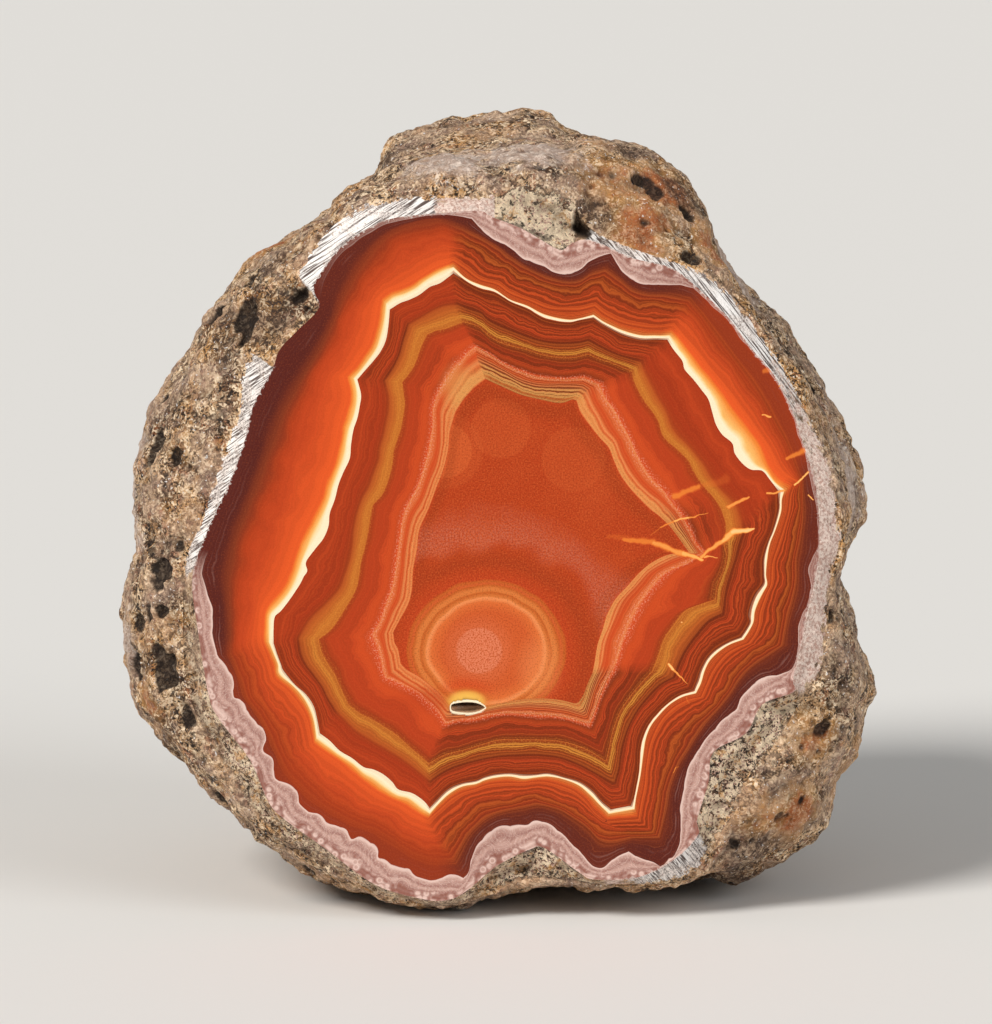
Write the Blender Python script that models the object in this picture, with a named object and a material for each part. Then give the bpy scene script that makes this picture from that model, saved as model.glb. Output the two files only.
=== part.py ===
"""Agate nodule with one flat polished cut, standing on a small flat spot of its rind.

Run with: blender --background --python part.py

Blender's units are metres and +Z is up. The cut faces -Y and leans back. Outlines are drawn in
millimetres on the plane of the cut, right and up from the middle of the cut, clockwise from the
upper left. Depth is measured straight back from the cut.
"""

from math import cos, pi, radians, sin

import bmesh
import bpy
import numpy as np
from mathutils import Matrix, Vector

MM = 0.001
COLLECTION = "agate_nodule"

# The cut's place: how far it leans back, and where the middle of the cut stands, in millimetres.
CUT_LEAN = radians(8.0)
CUT_MIDDLE = (-0.3, -20.5, 32.6)

# Depths behind the cut, in millimetres, of the outlines below and of the back's last point.
BEVEL_DEPTH = 1.3
NEAR_DEPTH = 13.0
FAR_DEPTH = 26.0
BACK_DEPTH = 44.0
BACK_SHIFT = (1.0, 3.5)

# How blunt the back's dome is (1 for an ellipsoid, less for a blunter one), and how far the rind
# stays behind the plane of the cut, in millimetres.
BACK_BLUNTNESS = 0.8
RIND_SETBACK = 0.2

# The edge of the polished cut, bitten into by lumps of host rock.
CUT_EDGE = (
    (-7.7, 23.6), (-4.5, 23.9), (-1.4, 24.1), (-0.3, 23.6), (2.2, 22.6), (5.0, 21.0), (5.9, 21.4),
    (7.0, 21.8), (8.3, 21.5), (11.0, 20.3), (14.1, 19.5), (16.6, 17.5), (18.7, 15.4), (20.5, 13.0),
    (22.2, 11.0), (23.7, 8.1), (24.6, 5.4), (25.6, 2.0), (25.9, -2.2), (25.6, -5.0), (24.8, -8.5),
    (24.5, -10.2), (23.8, -13.3), (23.8, -14.4), (21.3, -15.4), (20.0, -17.7), (17.4, -19.2),
    (17.0, -21.6), (16.1, -24.6), (16.2, -25.8), (14.4, -27.7), (11.5, -29.2), (7.9, -29.4),
    (6.6, -28.8), (3.9, -26.9), (2.7, -27.0), (0.1, -28.3), (-2.2, -30.2), (-3.7, -31.0),
    (-5.7, -31.0), (-9.7, -29.8), (-13.7, -26.9), (-16.9, -24.6), (-18.2, -23.2), (-19.7, -19.8),
    (-22.2, -16.5), (-23.0, -14.6), (-23.8, -9.8), (-24.3, -5.3), (-23.3, -2.0), (-21.4, 2.2),
    (-20.2, 5.4), (-19.4, 8.6), (-17.9, 11.4), (-17.3, 13.0), (-16.0, 14.4), (-14.2, 16.3),
    (-14.6, 17.8), (-14.2, 18.9), (-12.3, 21.3), (-9.7, 23.0),
)

# The outer edge of the narrow bevel that was ground round the cut, and of the lumps beside it.
BEVEL_EDGE = (
    (-10.8, 24.6), (-7.7, 25.2), (-3.7, 25.4), (-1.3, 25.3), (0.7, 25.8), (3.5, 26.2), (5.9, 25.2),
    (7.5, 22.8), (11.4, 21.0), (16.4, 19.3), (19.2, 17.0), (21.6, 13.6), (23.4, 11.2), (24.6, 8.6),
    (26.6, 4.2), (27.4, 0.2), (27.7, -2.6), (27.0, -4.7), (26.3, -10.7), (26.0, -12.7), (24.9, -14.4),
    (22.0, -19.1), (20.0, -21.5), (19.2, -23.9), (18.0, -25.7), (16.1, -28.6), (13.2, -29.7),
    (8.3, -29.9), (3.5, -29.3), (0.3, -30.2), (-2.9, -31.5), (-6.5, -31.5), (-10.1, -30.5),
    (-13.7, -28.2), (-18.1, -25.4), (-21.7, -20.5), (-24.2, -15.9), (-25.0, -12.3), (-25.1, -7.1),
    (-24.9, -3.9), (-23.5, -0.2), (-22.0, 4.2), (-20.7, 8.2), (-20.5, 11.2), (-19.7, 13.4),
    (-17.7, 16.6), (-16.0, 19.1), (-13.7, 22.3),
)

# The rind's girth close behind the cut, with the lobe at the lower right.
NEAR_GIRTH = (
    (-9.6, 27.0), (-6.3, 29.2), (-1.3, 30.3), (2.0, 30.6), (5.3, 30.1), (7.7, 30.7), (11.9, 29.6),
    (15.1, 27.4), (17.0, 24.2), (18.6, 20.6), (21.1, 16.8), (23.4, 13.8), (25.6, 10.5), (27.2, 6.8),
    (28.4, 2.6), (28.7, -0.7), (28.3, -4.0), (28.6, -7.3), (30.4, -12.0), (31.0, -14.5),
    (30.2, -16.5), (29.7, -19.6), (27.5, -22.9), (26.9, -26.1), (23.7, -28.5), (20.1, -30.4),
    (16.2, -30.4), (8.6, -30.5), (3.2, -30.8), (-3.7, -31.6), (-8.7, -31.2), (-14.9, -29.4),
    (-20.0, -26.0), (-23.4, -23.3), (-27.9, -18.5), (-29.8, -15.6), (-30.5, -10.6), (-30.6, -6.5),
    (-29.7, -3.1), (-29.9, 3.1), (-28.0, 9.2), (-24.4, 14.8), (-20.7, 20.0), (-15.6, 23.3),
    (-12.1, 25.6),
)

# The girth further back, with the lobes at the top and at the right.
FAR_GIRTH = (
    (-10.3, 28.4), (-9.3, 30.8), (-7.3, 32.3), (-4.3, 33.2), (0.3, 33.7), (4.2, 33.6), (7.1, 31.9),
    (12.2, 30.3), (15.3, 28.2), (17.6, 25.0), (19.7, 21.6), (22.4, 18.7), (25.3, 15.6),
    (27.9, 10.7), (29.7, 6.6), (30.5, 2.3), (30.2, -0.8), (29.1, -4.1), (28.9, -7.5),
    (30.1, -11.7), (29.9, -15.1), (28.4, -19.8), (25.8, -23.6), (20.7, -27.0), (13.9, -29.1),
    (5.4, -30.1), (-1.4, -30.2), (-8.2, -29.4), (-15.0, -26.6), (-21.3, -22.3), (-26.8, -17.2),
    (-29.6, -12.6), (-30.2, -7.5), (-29.6, -0.7), (-29.2, 4.4), (-27.5, 9.5), (-23.9, 15.5),
    (-20.0, 20.6), (-15.0, 24.4),
)

# The rounder form that the far girth turns into as the back closes.
BACK_FORM = (
    (-6.5, 30.3), (2.1, 32.0), (10.7, 29.4), (17.6, 23.4), (23.6, 14.8), (27.5, 6.2), (27.9, -2.4),
    (26.2, -11.9), (21.0, -21.4), (12.4, -27.8), (2.1, -29.1), (-8.3, -27.4), (-17.7, -21.4),
    (-24.6, -13.6), (-27.2, -4.1), (-26.3, 5.3), (-22.0, 14.8), (-15.2, 23.4),
)

# How finely each stretch of the surface is divided.
SPOKES = 120
FLANK_RINGS = 9
WAIST_RINGS = 7
BACK_RINGS = 12
CURVE_STEPS = 8
VUG_SPOKES = 24
VUG_RINGS = 12
SHARP_EDGE = radians(35)

# Swells of the rind: (size of one swell, height), in millimetres.
SWELLS = ((13.0, 0.55), (7.5, 0.4), (4.0, 0.22))
SWELL_SEED = 7
SWELL_GRID = 16
SWELL_START = 1.6
SWELL_FULL = 6.0

# Lumps and hollows: (right, up, depth, reach, height), in millimetres. A hollow's height is below zero.
LUMPS = (
    (3.0, 24.3, 1.0, 3.0, 0.7),
    (-16.5, 15.6, 1.2, 2.4, 0.5),
    (20.5, -21.5, 3.0, 5.0, 0.9),
    (3.8, -29.0, 1.2, 1.8, 0.3),
    (21.5, 18.2, 11.0, 3.0, -0.9),
    (25.2, 12.2, 12.0, 3.0, -0.9),
    (17.5, -30.5, 6.0, 3.0, -0.9),
    (24.8, -28.2, 18.0, 4.5, -1.2),
    (-9.8, 27.6, 17.0, 3.0, -0.6),
    (28.5, -6.0, 17.0, 4.0, -0.6),
    (-28.5, -3.0, 17.0, 5.0, -0.8),
    (14.0, 12.0, 42.0, 7.0, -1.4),
    (-12.0, -9.0, 41.0, 8.0, 1.3),
    (-16.0, 14.0, 37.0, 6.0, -1.1),
    (10.0, 24.0, 33.0, 5.0, 0.9),
    (22.0, 2.0, 34.0, 6.0, 0.8),
    (-24.0, -16.0, 26.0, 4.5, -1.0),
    (-27.0, 6.0, 24.0, 5.0, 0.8),
    (4.0, -16.0, 42.0, 6.0, -0.9),
    (-4.0, 20.0, 40.0, 4.5, -1.2),
)

# Open pits in the rind: (angle round the cut's middle in degrees, depth, half sizes right, up and
# back). Depths and sizes are in millimetres, and angles run anticlockwise from the right.
PITS = (
    (190.1, 2.2, 0.9, 1.2, 1.3),
    (168.1, 5.6, 0.8, 1.1, 1.2),
    (170.0, 3.0, 0.7, 0.8, 1.0),
    (196.5, 2.0, 0.9, 0.6, 0.9),
    (197.4, 4.8, 0.8, 0.8, 1.0),
    (203.3, 6.4, 0.9, 1.2, 1.2),
    (206.0, 1.9, 1.2, 1.5, 0.9),
    (136.2, 4.6, 0.8, 0.8, 1.0),
    (144.8, 6.0, 0.9, 1.0, 1.0),
    (142.3, 2.0, 1.0, 2.4, 1.9),
    (73.7, 1.6, 0.9, 1.3, 1.8),
    (22.0, 19.0, 1.0, 1.1, 1.4),
    (331.0, 23.0, 1.1, 1.1, 1.0),
    (98.0, 31.0, 1.3, 1.0, 1.1),
    (160.0, 35.0, 1.2, 1.4, 1.0),
    (216.0, 30.0, 1.0, 1.2, 1.2),
    (40.0, 40.0, 1.4, 1.1, 1.0),
)

# The side of the block that is taken away below the spot that the nodule rests on, in millimetres.
GROUND_BLOCK = 120.0

# The small hollow that opens on the cut, and the crystal crust inside it: half sizes in millimetres
# of the hollow, the crust and the space that the crust leaves.
VUG_MIDDLE = (-2.24, -15.6)
VUG_HALF = (1.62, 0.72, 2.45)
CRUST_HALF = (1.52, 0.62, 2.30)
CRUST_SPACE = (1.2, 0.34, 1.9)
CRUST_INSET = 0.05

# Base colours and roughness of the two materials.
AGATE_COLOR = (0.42, 0.11, 0.03)
AGATE_ROUGHNESS = 0.35
QUARTZ_COLOR = (0.75, 0.66, 0.52)
QUARTZ_ROUGHNESS = 0.3


def world_matrix():
    """Turns (right, up, depth) in millimetres into Blender's metres, leaning the cut back."""
    right = Vector((1.0, 0.0, 0.0))
    up = Vector((0.0, sin(CUT_LEAN), cos(CUT_LEAN)))
    back = Vector((0.0, cos(CUT_LEAN), -sin(CUT_LEAN)))
    turn = Matrix((right, up, back)).transposed().to_4x4()
    return Matrix.Translation(Vector(CUT_MIDDLE) * MM) @ turn @ Matrix.Scale(MM, 4)


def radius_by_angle(outline, angles):
    """The outline as a smooth closed curve, read as a radius at each angle round its middle."""
    points = np.array(outline)
    before, here, after, beyond = (np.roll(points, shift, 0)[:, None] for shift in (1, 0, -1, -2))
    t = np.linspace(0.0, 1.0, CURVE_STEPS, endpoint=False)[None, :, None]
    curve = here + 0.5 * t * (after - before)
    curve = curve + 0.5 * t**2 * (2 * before - 5 * here + 4 * after - beyond)
    curve = curve + 0.5 * t**3 * (3 * here - before - 3 * after + beyond)
    curve = curve.reshape(-1, 2)
    return np.interp(
        angles,
        np.arctan2(curve[:, 1], curve[:, 0]),
        np.hypot(curve[:, 0], curve[:, 1]),
        period=2 * pi,
    )


def eased(share):
    """A share from 0 to 1 that starts and ends level."""
    return share * share * (3.0 - 2.0 * share)


def ring_points(angles):
    """The nodule's rings from the cut's edge to the back, as an array of (ring, spoke, 3)."""
    cut, bevel, near, far, back = (
        radius_by_angle(outline, angles)
        for outline in (CUT_EDGE, BEVEL_EDGE, NEAR_GIRTH, FAR_GIRTH, BACK_FORM)
    )
    rings = [(cut, 0.0, 0.0), (bevel, BEVEL_DEPTH, 0.0)]
    # The flank behind the bevel is a quarter of an ellipse at each angle.
    for turn in np.linspace(0.0, pi / 2, FLANK_RINGS + 1)[1:]:
        depth = BEVEL_DEPTH + (NEAR_DEPTH - BEVEL_DEPTH) * (1 - cos(turn))
        rings.append((bevel + (near - bevel) * sin(turn), depth, 0.0))
    for share in np.linspace(0.0, 1.0, WAIST_RINGS + 1)[1:]:
        depth = NEAR_DEPTH + (FAR_DEPTH - NEAR_DEPTH) * share
        rings.append((near + (far - near) * eased(share), depth, 0.0))
    # The back is a dome whose outline changes from the far girth to the rounder form.
    for turn in np.linspace(0.0, pi / 2, BACK_RINGS + 1)[1:-1]:
        form = far + (back - far) * eased(sin(turn))
        depth = FAR_DEPTH + (BACK_DEPTH - FAR_DEPTH) * sin(turn)
        rings.append((form * cos(turn) ** BACK_BLUNTNESS, depth, 1 - cos(turn)))
    points = np.empty((len(rings), len(angles), 3))
    for row, (radius, depth, shift) in zip(points, rings):
        row[:, 0] = radius * np.cos(angles) + shift * BACK_SHIFT[0]
        row[:, 1] = radius * np.sin(angles) + shift * BACK_SHIFT[1]
        row[:, 2] = depth
    return points


def rind_point(angle, depth):
    """The place on the smooth rind at an angle in degrees and a depth in millimetres."""
    line = ring_points(np.radians([angle]))[:, 0]
    return [np.interp(depth, line[:, 2], line[:, axis]) for axis in range(3)]


def soft_noise(points, size, seed):
    """Smooth noise from -1 to 1: random values on a grid of this size, blended between its corners."""
    values = np.random.default_rng(seed).uniform(-1.0, 1.0, (SWELL_GRID,) * 3)
    place = points / size + SWELL_GRID
    corner = np.floor(place).astype(int)
    share = eased(place - corner)
    total = np.zeros(len(points))
    for step in np.ndindex(2, 2, 2):
        weight = np.where(step, share, 1.0 - share).prod(axis=1)
        total += weight * values[tuple(((corner + step) % SWELL_GRID).T)]
    return total


def relief(points):
    """How far the rind stands out of its smooth form, in millimetres: swells, lumps and hollows."""
    height = np.zeros(len(points))
    for number, (size, tall) in enumerate(SWELLS):
        height += tall * soft_noise(points, size, SWELL_SEED + number)
    height *= eased(np.clip((points[:, 2] - SWELL_START) / (SWELL_FULL - SWELL_START), 0.0, 1.0))
    for right, up, depth, reach, size in LUMPS:
        away = np.linalg.norm(points - np.array((right, up, depth)), axis=1) / reach
        height += size * np.exp(-away * away)
    return height


def put_in_world(bm):
    """Places a mesh drawn right, up and back. That mirrors it, so its faces are turned out again."""
    bm.transform(world_matrix())
    bmesh.ops.reverse_faces(bm, faces=bm.faces)


def new_object(name, bm, collection):
    mesh = bpy.data.meshes.new(name)
    bm.to_mesh(mesh)
    bm.free()
    made = bpy.data.objects.new(name, mesh)
    collection.objects.link(made)
    return made


def new_material(name, color, roughness):
    material = bpy.data.materials.new(name)
    material.use_nodes = True
    shader = material.node_tree.nodes["Principled BSDF"]
    shader.inputs["Base Color"].default_value = (*color, 1.0)
    shader.inputs["Roughness"].default_value = roughness
    shader.inputs["Metallic"].default_value = 0.0
    return material


def make_nodule(collection):
    """A sphere whose rings of latitude are laid on the cut, the bevel and the rind."""
    rings = 1 + FLANK_RINGS + WAIST_RINGS + BACK_RINGS
    bm = bmesh.new()
    bmesh.ops.create_uvsphere(bm, u_segments=SPOKES, v_segments=rings + 1, radius=1.0)
    ball = np.array([vertex.co[:] for vertex in bm.verts])
    ring = np.rint(np.arccos(np.clip(-ball[:, 2], -1, 1)) / pi * (rings + 1)).astype(int)
    spoke = np.rint(np.arctan2(ball[:, 1], ball[:, 0]) / (2 * pi) * SPOKES).astype(int) % SPOKES

    grid = ring_points(np.arange(SPOKES) * 2 * pi / SPOKES)
    placed = grid[np.clip(ring - 1, 0, rings - 1), spoke]
    placed[ring == 0] = (0.0, 0.0, 0.0)
    placed[ring == rings + 1] = (*BACK_SHIFT, BACK_DEPTH)
    for vertex, point in zip(bm.verts, placed):
        vertex.co = point
    bm.normal_update()

    # The rind swells and sinks along its normals, but nothing stands in front of the cut.
    rough = ring > 1
    normals = np.array([vertex.normal[:] for vertex in bm.verts])
    placed[rough] += normals[rough] * relief(placed[rough])[:, None]
    placed[rough, 2] = np.maximum(placed[rough, 2], RIND_SETBACK)
    for vertex, point in zip(bm.verts, placed):
        vertex.co = point
    put_in_world(bm)
    nodule = new_object("nodule", bm, collection)
    nodule.data.materials.append(new_material("agate", AGATE_COLOR, AGATE_ROUGHNESS))
    nodule.data.set_sharp_from_angle(angle=SHARP_EDGE)
    return nodule


def add_cut(target, cutter, name):
    cutter.hide_render = True
    cutter.display_type = "WIRE"
    cut = target.modifiers.new(name, "BOOLEAN")
    cut.operation = "DIFFERENCE"
    cut.object = cutter


def add_vug_ball(bm, half, depth):
    """An ellipsoid of these half sizes in millimetres, round the middle of the hollow."""
    place = Matrix.Translation((*VUG_MIDDLE, depth)) @ Matrix.Diagonal((*half, 1.0))
    bmesh.ops.create_uvsphere(
        bm, u_segments=VUG_SPOKES, v_segments=VUG_RINGS, radius=1.0, matrix=place
    )


def make_crust(parts, cutters):
    """A bowl of crystals: half an ellipsoid, closed by a flat rim and hollowed by a smaller one."""
    bm = bmesh.new()
    add_vug_ball(bm, CRUST_HALF, CRUST_INSET)
    everything = bm.verts[:] + bm.edges[:] + bm.faces[:]
    rim = (*VUG_MIDDLE, CRUST_INSET)
    bmesh.ops.bisect_plane(
        bm, geom=everything, plane_co=rim, plane_no=(0, 0, -1), clear_outer=True
    )
    bmesh.ops.holes_fill(bm, edges=bm.edges)
    put_in_world(bm)
    crust = new_object("vug_crust", bm, parts)
    crust.data.materials.append(new_material("drusy quartz", QUARTZ_COLOR, QUARTZ_ROUGHNESS))

    bm = bmesh.new()
    add_vug_ball(bm, CRUST_SPACE, 0.0)
    put_in_world(bm)
    add_cut(crust, new_object("crust_cutter", bm, cutters), "space")


def make_cutters(nodule, collection):
    """The ground below the rest spot, the rind's pits, and the hollow for the crust."""
    bm = bmesh.new()
    below = Matrix.Translation((0.0, 0.0, -GROUND_BLOCK / 2 * MM))
    bmesh.ops.create_cube(bm, size=GROUND_BLOCK * MM, matrix=below)
    add_cut(nodule, new_object("rest_spot_cutter", bm, collection), "rest spot")

    bm = bmesh.new()
    for angle, depth, *half in PITS:
        place = Matrix.Translation(rind_point(angle, depth)) @ Matrix.Diagonal((*half, 1.0))
        bmesh.ops.create_icosphere(bm, subdivisions=2, radius=1.0, matrix=place)
    put_in_world(bm)
    add_cut(nodule, new_object("pit_cutter", bm, collection), "pits")

    bm = bmesh.new()
    add_vug_ball(bm, VUG_HALF, 0.0)
    put_in_world(bm)
    add_cut(nodule, new_object("vug_cutter", bm, collection), "vug")


def main():
    for item in list(bpy.data.objects):
        bpy.data.objects.remove(item, do_unlink=True)
    parts = bpy.data.collections.new(COLLECTION)
    cutters = bpy.data.collections.new(COLLECTION + "_cutters")
    for collection in (parts, cutters):
        bpy.context.scene.collection.children.link(collection)
    nodule = make_nodule(parts)
    make_cutters(nodule, cutters)
    make_crust(parts, cutters)


main()
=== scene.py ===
"""Agate nodule with one polished cut: the looks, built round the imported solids.

The drawing frame is the one of the solids: millimetres to the right and up on the plane of the cut,
seen from the front, and depth straight behind it. Bands are closed contours on the cut, drawn as
arcs between the same thirteen seams, clockwise from the upper left.
"""

from math import pi, radians

import bpy
import numpy as np
from mathutils import Matrix, Vector


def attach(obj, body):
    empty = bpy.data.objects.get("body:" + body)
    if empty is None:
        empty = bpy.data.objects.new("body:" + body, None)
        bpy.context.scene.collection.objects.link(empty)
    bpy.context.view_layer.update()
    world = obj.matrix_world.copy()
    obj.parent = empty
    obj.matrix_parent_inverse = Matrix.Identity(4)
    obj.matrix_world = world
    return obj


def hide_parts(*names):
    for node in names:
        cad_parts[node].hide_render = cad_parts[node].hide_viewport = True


bl_info = {
    "name": "Agate nodule",
    "version": (1, 0, 0),
    "blender": (4, 5, 0),
    "location": "3D View > Sidebar > Agate",
    "description": "Makes the cut, the ground bevel, the rind and the crystals of an agate nodule",
    "category": "Add Mesh",
}

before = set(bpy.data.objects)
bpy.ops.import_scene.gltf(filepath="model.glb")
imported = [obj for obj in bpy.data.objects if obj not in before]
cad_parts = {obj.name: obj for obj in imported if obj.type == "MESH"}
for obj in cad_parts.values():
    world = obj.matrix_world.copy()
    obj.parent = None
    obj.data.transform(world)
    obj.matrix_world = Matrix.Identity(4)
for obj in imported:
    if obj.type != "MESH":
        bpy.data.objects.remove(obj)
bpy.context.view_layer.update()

MM = 0.001

# The cut's place: how far it leans back, and where the middle of the cut stands, in millimetres.
CUT_LEAN = radians(8.0)
CUT_MIDDLE = (-0.3, -20.5, 32.6)

# The photograph: its size in pixels, and what one pixel measures on the cut, in millimetres.
PHOTO_SIZE = (992, 1024)
PIXEL = 0.08
CAMERA_AWAY = 420.0
SENSOR = 36.0

# Where the two lights shine from, in metres.
KEY_PLACE = (-0.34, -0.32, 0.42)
FILL_PLACE = (0.42, -0.3, 0.28)

# Depths behind the cut, in millimetres, of the outlines below and of the back's last point, and the
# least depth that the relief may leave the rind.
BEVEL_DEPTH = 1.3
NEAR_DEPTH = 13.0
FAR_DEPTH = 26.0
BACK_DEPTH = 44.0
RIND_SETBACK = 0.2

# How far the back's last point lies right and up, in millimetres, and the power of the cosine that
# closes the dome: the lower it is, the blunter the back.
BACK_SHIFT = (1.0, 3.5)
BACK_BLUNTNESS = 0.8

# The edge of the polished cut, bitten into by lumps of host rock.
CUT_EDGE = (
    (-7.7, 23.6), (-4.5, 23.9), (-1.4, 24.1), (-0.3, 23.6), (2.2, 22.6), (5, 21), (5.9, 21.4), (7, 21.8),
    (8.3, 21.5), (11, 20.3), (14.1, 19.5), (16.6, 17.5), (18.7, 15.4), (20.5, 13), (22.2, 11),
    (23.7, 8.1), (24.6, 5.4), (25.6, 2), (25.9, -2.2), (25.6, -5), (24.8, -8.5), (24.5, -10.2),
    (23.8, -13.3), (23.8, -14.4), (21.3, -15.4), (20, -17.7), (17.4, -19.2), (17, -21.6), (16.1, -24.6),
    (16.2, -25.8), (14.4, -27.7), (11.5, -29.2), (7.9, -29.4), (6.6, -28.8), (3.9, -26.9), (2.7, -27),
    (0.1, -28.3), (-2.2, -30.2), (-3.7, -31), (-5.7, -31), (-9.7, -29.8), (-13.7, -26.9), (-16.9, -24.6),
    (-18.2, -23.2), (-19.7, -19.8), (-22.2, -16.5), (-23, -14.6), (-23.8, -9.8), (-24.3, -5.3),
    (-23.3, -2), (-21.4, 2.2), (-20.2, 5.4), (-19.4, 8.6), (-17.9, 11.4), (-17.3, 13), (-16, 14.4),
    (-14.2, 16.3), (-14.6, 17.8), (-14.2, 18.9), (-12.3, 21.3), (-9.7, 23),
)

# The outer edge of the narrow bevel that was ground round the cut, and of the lumps beside it.
BEVEL_EDGE = (
    (-10.8, 24.6), (-7.7, 25.2), (-3.7, 25.4), (-1.3, 25.3), (0.7, 25.8), (3.5, 26.2), (5.9, 25.2),
    (7.5, 22.8), (11.4, 21), (16.4, 19.3), (19.2, 17), (21.6, 13.6), (23.4, 11.2), (24.6, 8.6),
    (26.6, 4.2), (27.4, 0.2), (27.7, -2.6), (27, -4.7), (26.3, -10.7), (26, -12.7), (24.9, -14.4),
    (22, -19.1), (20, -21.5), (19.2, -23.9), (18, -25.7), (16.1, -28.6), (13.2, -29.7), (8.3, -29.9),
    (3.5, -29.3), (0.3, -30.2), (-2.9, -31.5), (-6.5, -31.5), (-10.1, -30.5), (-13.7, -28.2),
    (-18.1, -25.4), (-21.7, -20.5), (-24.2, -15.9), (-25, -12.3), (-25.1, -7.1), (-24.9, -3.9),
    (-23.5, -0.2), (-22, 4.2), (-20.7, 8.2), (-20.5, 11.2), (-19.7, 13.4), (-17.7, 16.6), (-16, 19.1),
    (-13.7, 22.3),
)

# The rind's girth close behind the cut, with the lobe at the lower right.
NEAR_GIRTH = (
    (-9.6, 27), (-6.3, 29.2), (-1.3, 30.3), (2, 30.6), (5.3, 30.1), (7.7, 30.7), (11.9, 29.6),
    (15.1, 27.4), (17, 24.2), (18.6, 20.6), (21.1, 16.8), (23.4, 13.8), (25.6, 10.5), (27.2, 6.8),
    (28.4, 2.6), (28.7, -0.7), (28.3, -4), (28.6, -7.3), (30.4, -12), (31, -14.5), (30.2, -16.5),
    (29.7, -19.6), (27.5, -22.9), (26.9, -26.1), (23.7, -28.5), (20.1, -30.4), (16.2, -30.4),
    (8.6, -30.5), (3.2, -30.8), (-3.7, -31.6), (-8.7, -31.2), (-14.9, -29.4), (-20, -26), (-23.4, -23.3),
    (-27.9, -18.5), (-29.8, -15.6), (-30.5, -10.6), (-30.6, -6.5), (-29.7, -3.1), (-29.9, 3.1),
    (-28, 9.2), (-24.4, 14.8), (-20.7, 20), (-15.6, 23.3), (-12.1, 25.6),
)

# The girth further back, with the lobes at the top and at the right.
FAR_GIRTH = (
    (-10.3, 28.4), (-9.3, 30.8), (-7.3, 32.3), (-4.3, 33.2), (0.3, 33.7), (4.2, 33.6), (7.1, 31.9),
    (12.2, 30.3), (15.3, 28.2), (17.6, 25), (19.7, 21.6), (22.4, 18.7), (25.3, 15.6), (27.9, 10.7),
    (29.7, 6.6), (30.5, 2.3), (30.2, -0.8), (29.1, -4.1), (28.9, -7.5), (30.1, -11.7), (29.9, -15.1),
    (28.4, -19.8), (25.8, -23.6), (20.7, -27), (13.9, -29.1), (5.4, -30.1), (-1.4, -30.2), (-8.2, -29.4),
    (-15, -26.6), (-21.3, -22.3), (-26.8, -17.2), (-29.6, -12.6), (-30.2, -7.5), (-29.6, -0.7),
    (-29.2, 4.4), (-27.5, 9.5), (-23.9, 15.5), (-20, 20.6), (-15, 24.4),
)

# The rounder form that the far girth turns into as the back closes.
BACK_FORM = (
    (-6.5, 30.3), (2.1, 32), (10.7, 29.4), (17.6, 23.4), (23.6, 14.8), (27.5, 6.2), (27.9, -2.4),
    (26.2, -11.9), (21, -21.4), (12.4, -27.8), (2.1, -29.1), (-8.3, -27.4), (-17.7, -21.4),
    (-24.6, -13.6), (-27.2, -4.1), (-26.3, 5.3), (-22, 14.8), (-15.2, 23.4),
)

# Grid points along each side of the noise lattices, after which they repeat.
NOISE_SIDE = 16

# Swells of the rind: (size of one swell, height), in millimetres.
SWELLS = ((13.0, 0.55), (7.5, 0.4), (4.0, 0.22))
SWELL_SEED = 7
SWELL_START = 1.6
SWELL_FULL = 6.0

# Lumps and hollows: (right, up, depth, reach, height), in millimetres. A hollow's height is below zero.
LUMPS = (
    (3, 24.3, 1, 3, 0.7), (-16.5, 15.6, 1.2, 2.4, 0.5), (20.5, -21.5, 3, 5, 0.9),
    (3.8, -29, 1.2, 1.8, 0.3), (21.5, 18.2, 11, 3, -0.9), (25.2, 12.2, 12, 3, -0.9),
    (17.5, -30.5, 6, 3, -0.9), (24.8, -28.2, 18, 4.5, -1.2), (-9.8, 27.6, 17, 3, -0.6),
    (28.5, -6, 17, 4, -0.6), (-28.5, -3, 17, 5, -0.8), (14, 12, 42, 7, -1.4), (-12, -9, 41, 8, 1.3),
    (-16, 14, 37, 6, -1.1), (10, 24, 33, 5, 0.9), (22, 2, 34, 6, 0.8), (-24, -16, 26, 4.5, -1),
    (-27, 6, 24, 5, 0.8), (4, -16, 42, 6, -0.9), (-4, 20, 40, 4.5, -1.2),
)

# Open pits in the rind: (angle round the cut's middle in degrees, depth, half sizes right, up and
# back). Depths and sizes are in millimetres, and angles run anticlockwise from the right.
PITS = (
    (190.1, 2.2, 0.9, 1.2, 1.3), (168.1, 5.6, 0.8, 1.1, 1.2), (170, 3, 0.7, 0.8, 1),
    (196.5, 2, 0.9, 0.6, 0.9), (197.4, 4.8, 0.8, 0.8, 1), (203.3, 6.4, 0.9, 1.2, 1.2),
    (206, 1.9, 1.2, 1.5, 0.9), (136.2, 4.6, 0.8, 0.8, 1), (144.8, 6, 0.9, 1, 1), (142.3, 2, 1, 2.4, 1.9),
    (66, 4.5, 1.1, 0.8, 0.9), (22, 19, 1, 1.1, 1.4), (331, 23, 1.1, 1.1, 1), (98, 31, 1.3, 1, 1.1),
    (160, 35, 1.2, 1.4, 1), (216, 30, 1, 1.2, 1.2), (40, 40, 1.4, 1.1, 1),
)

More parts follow.
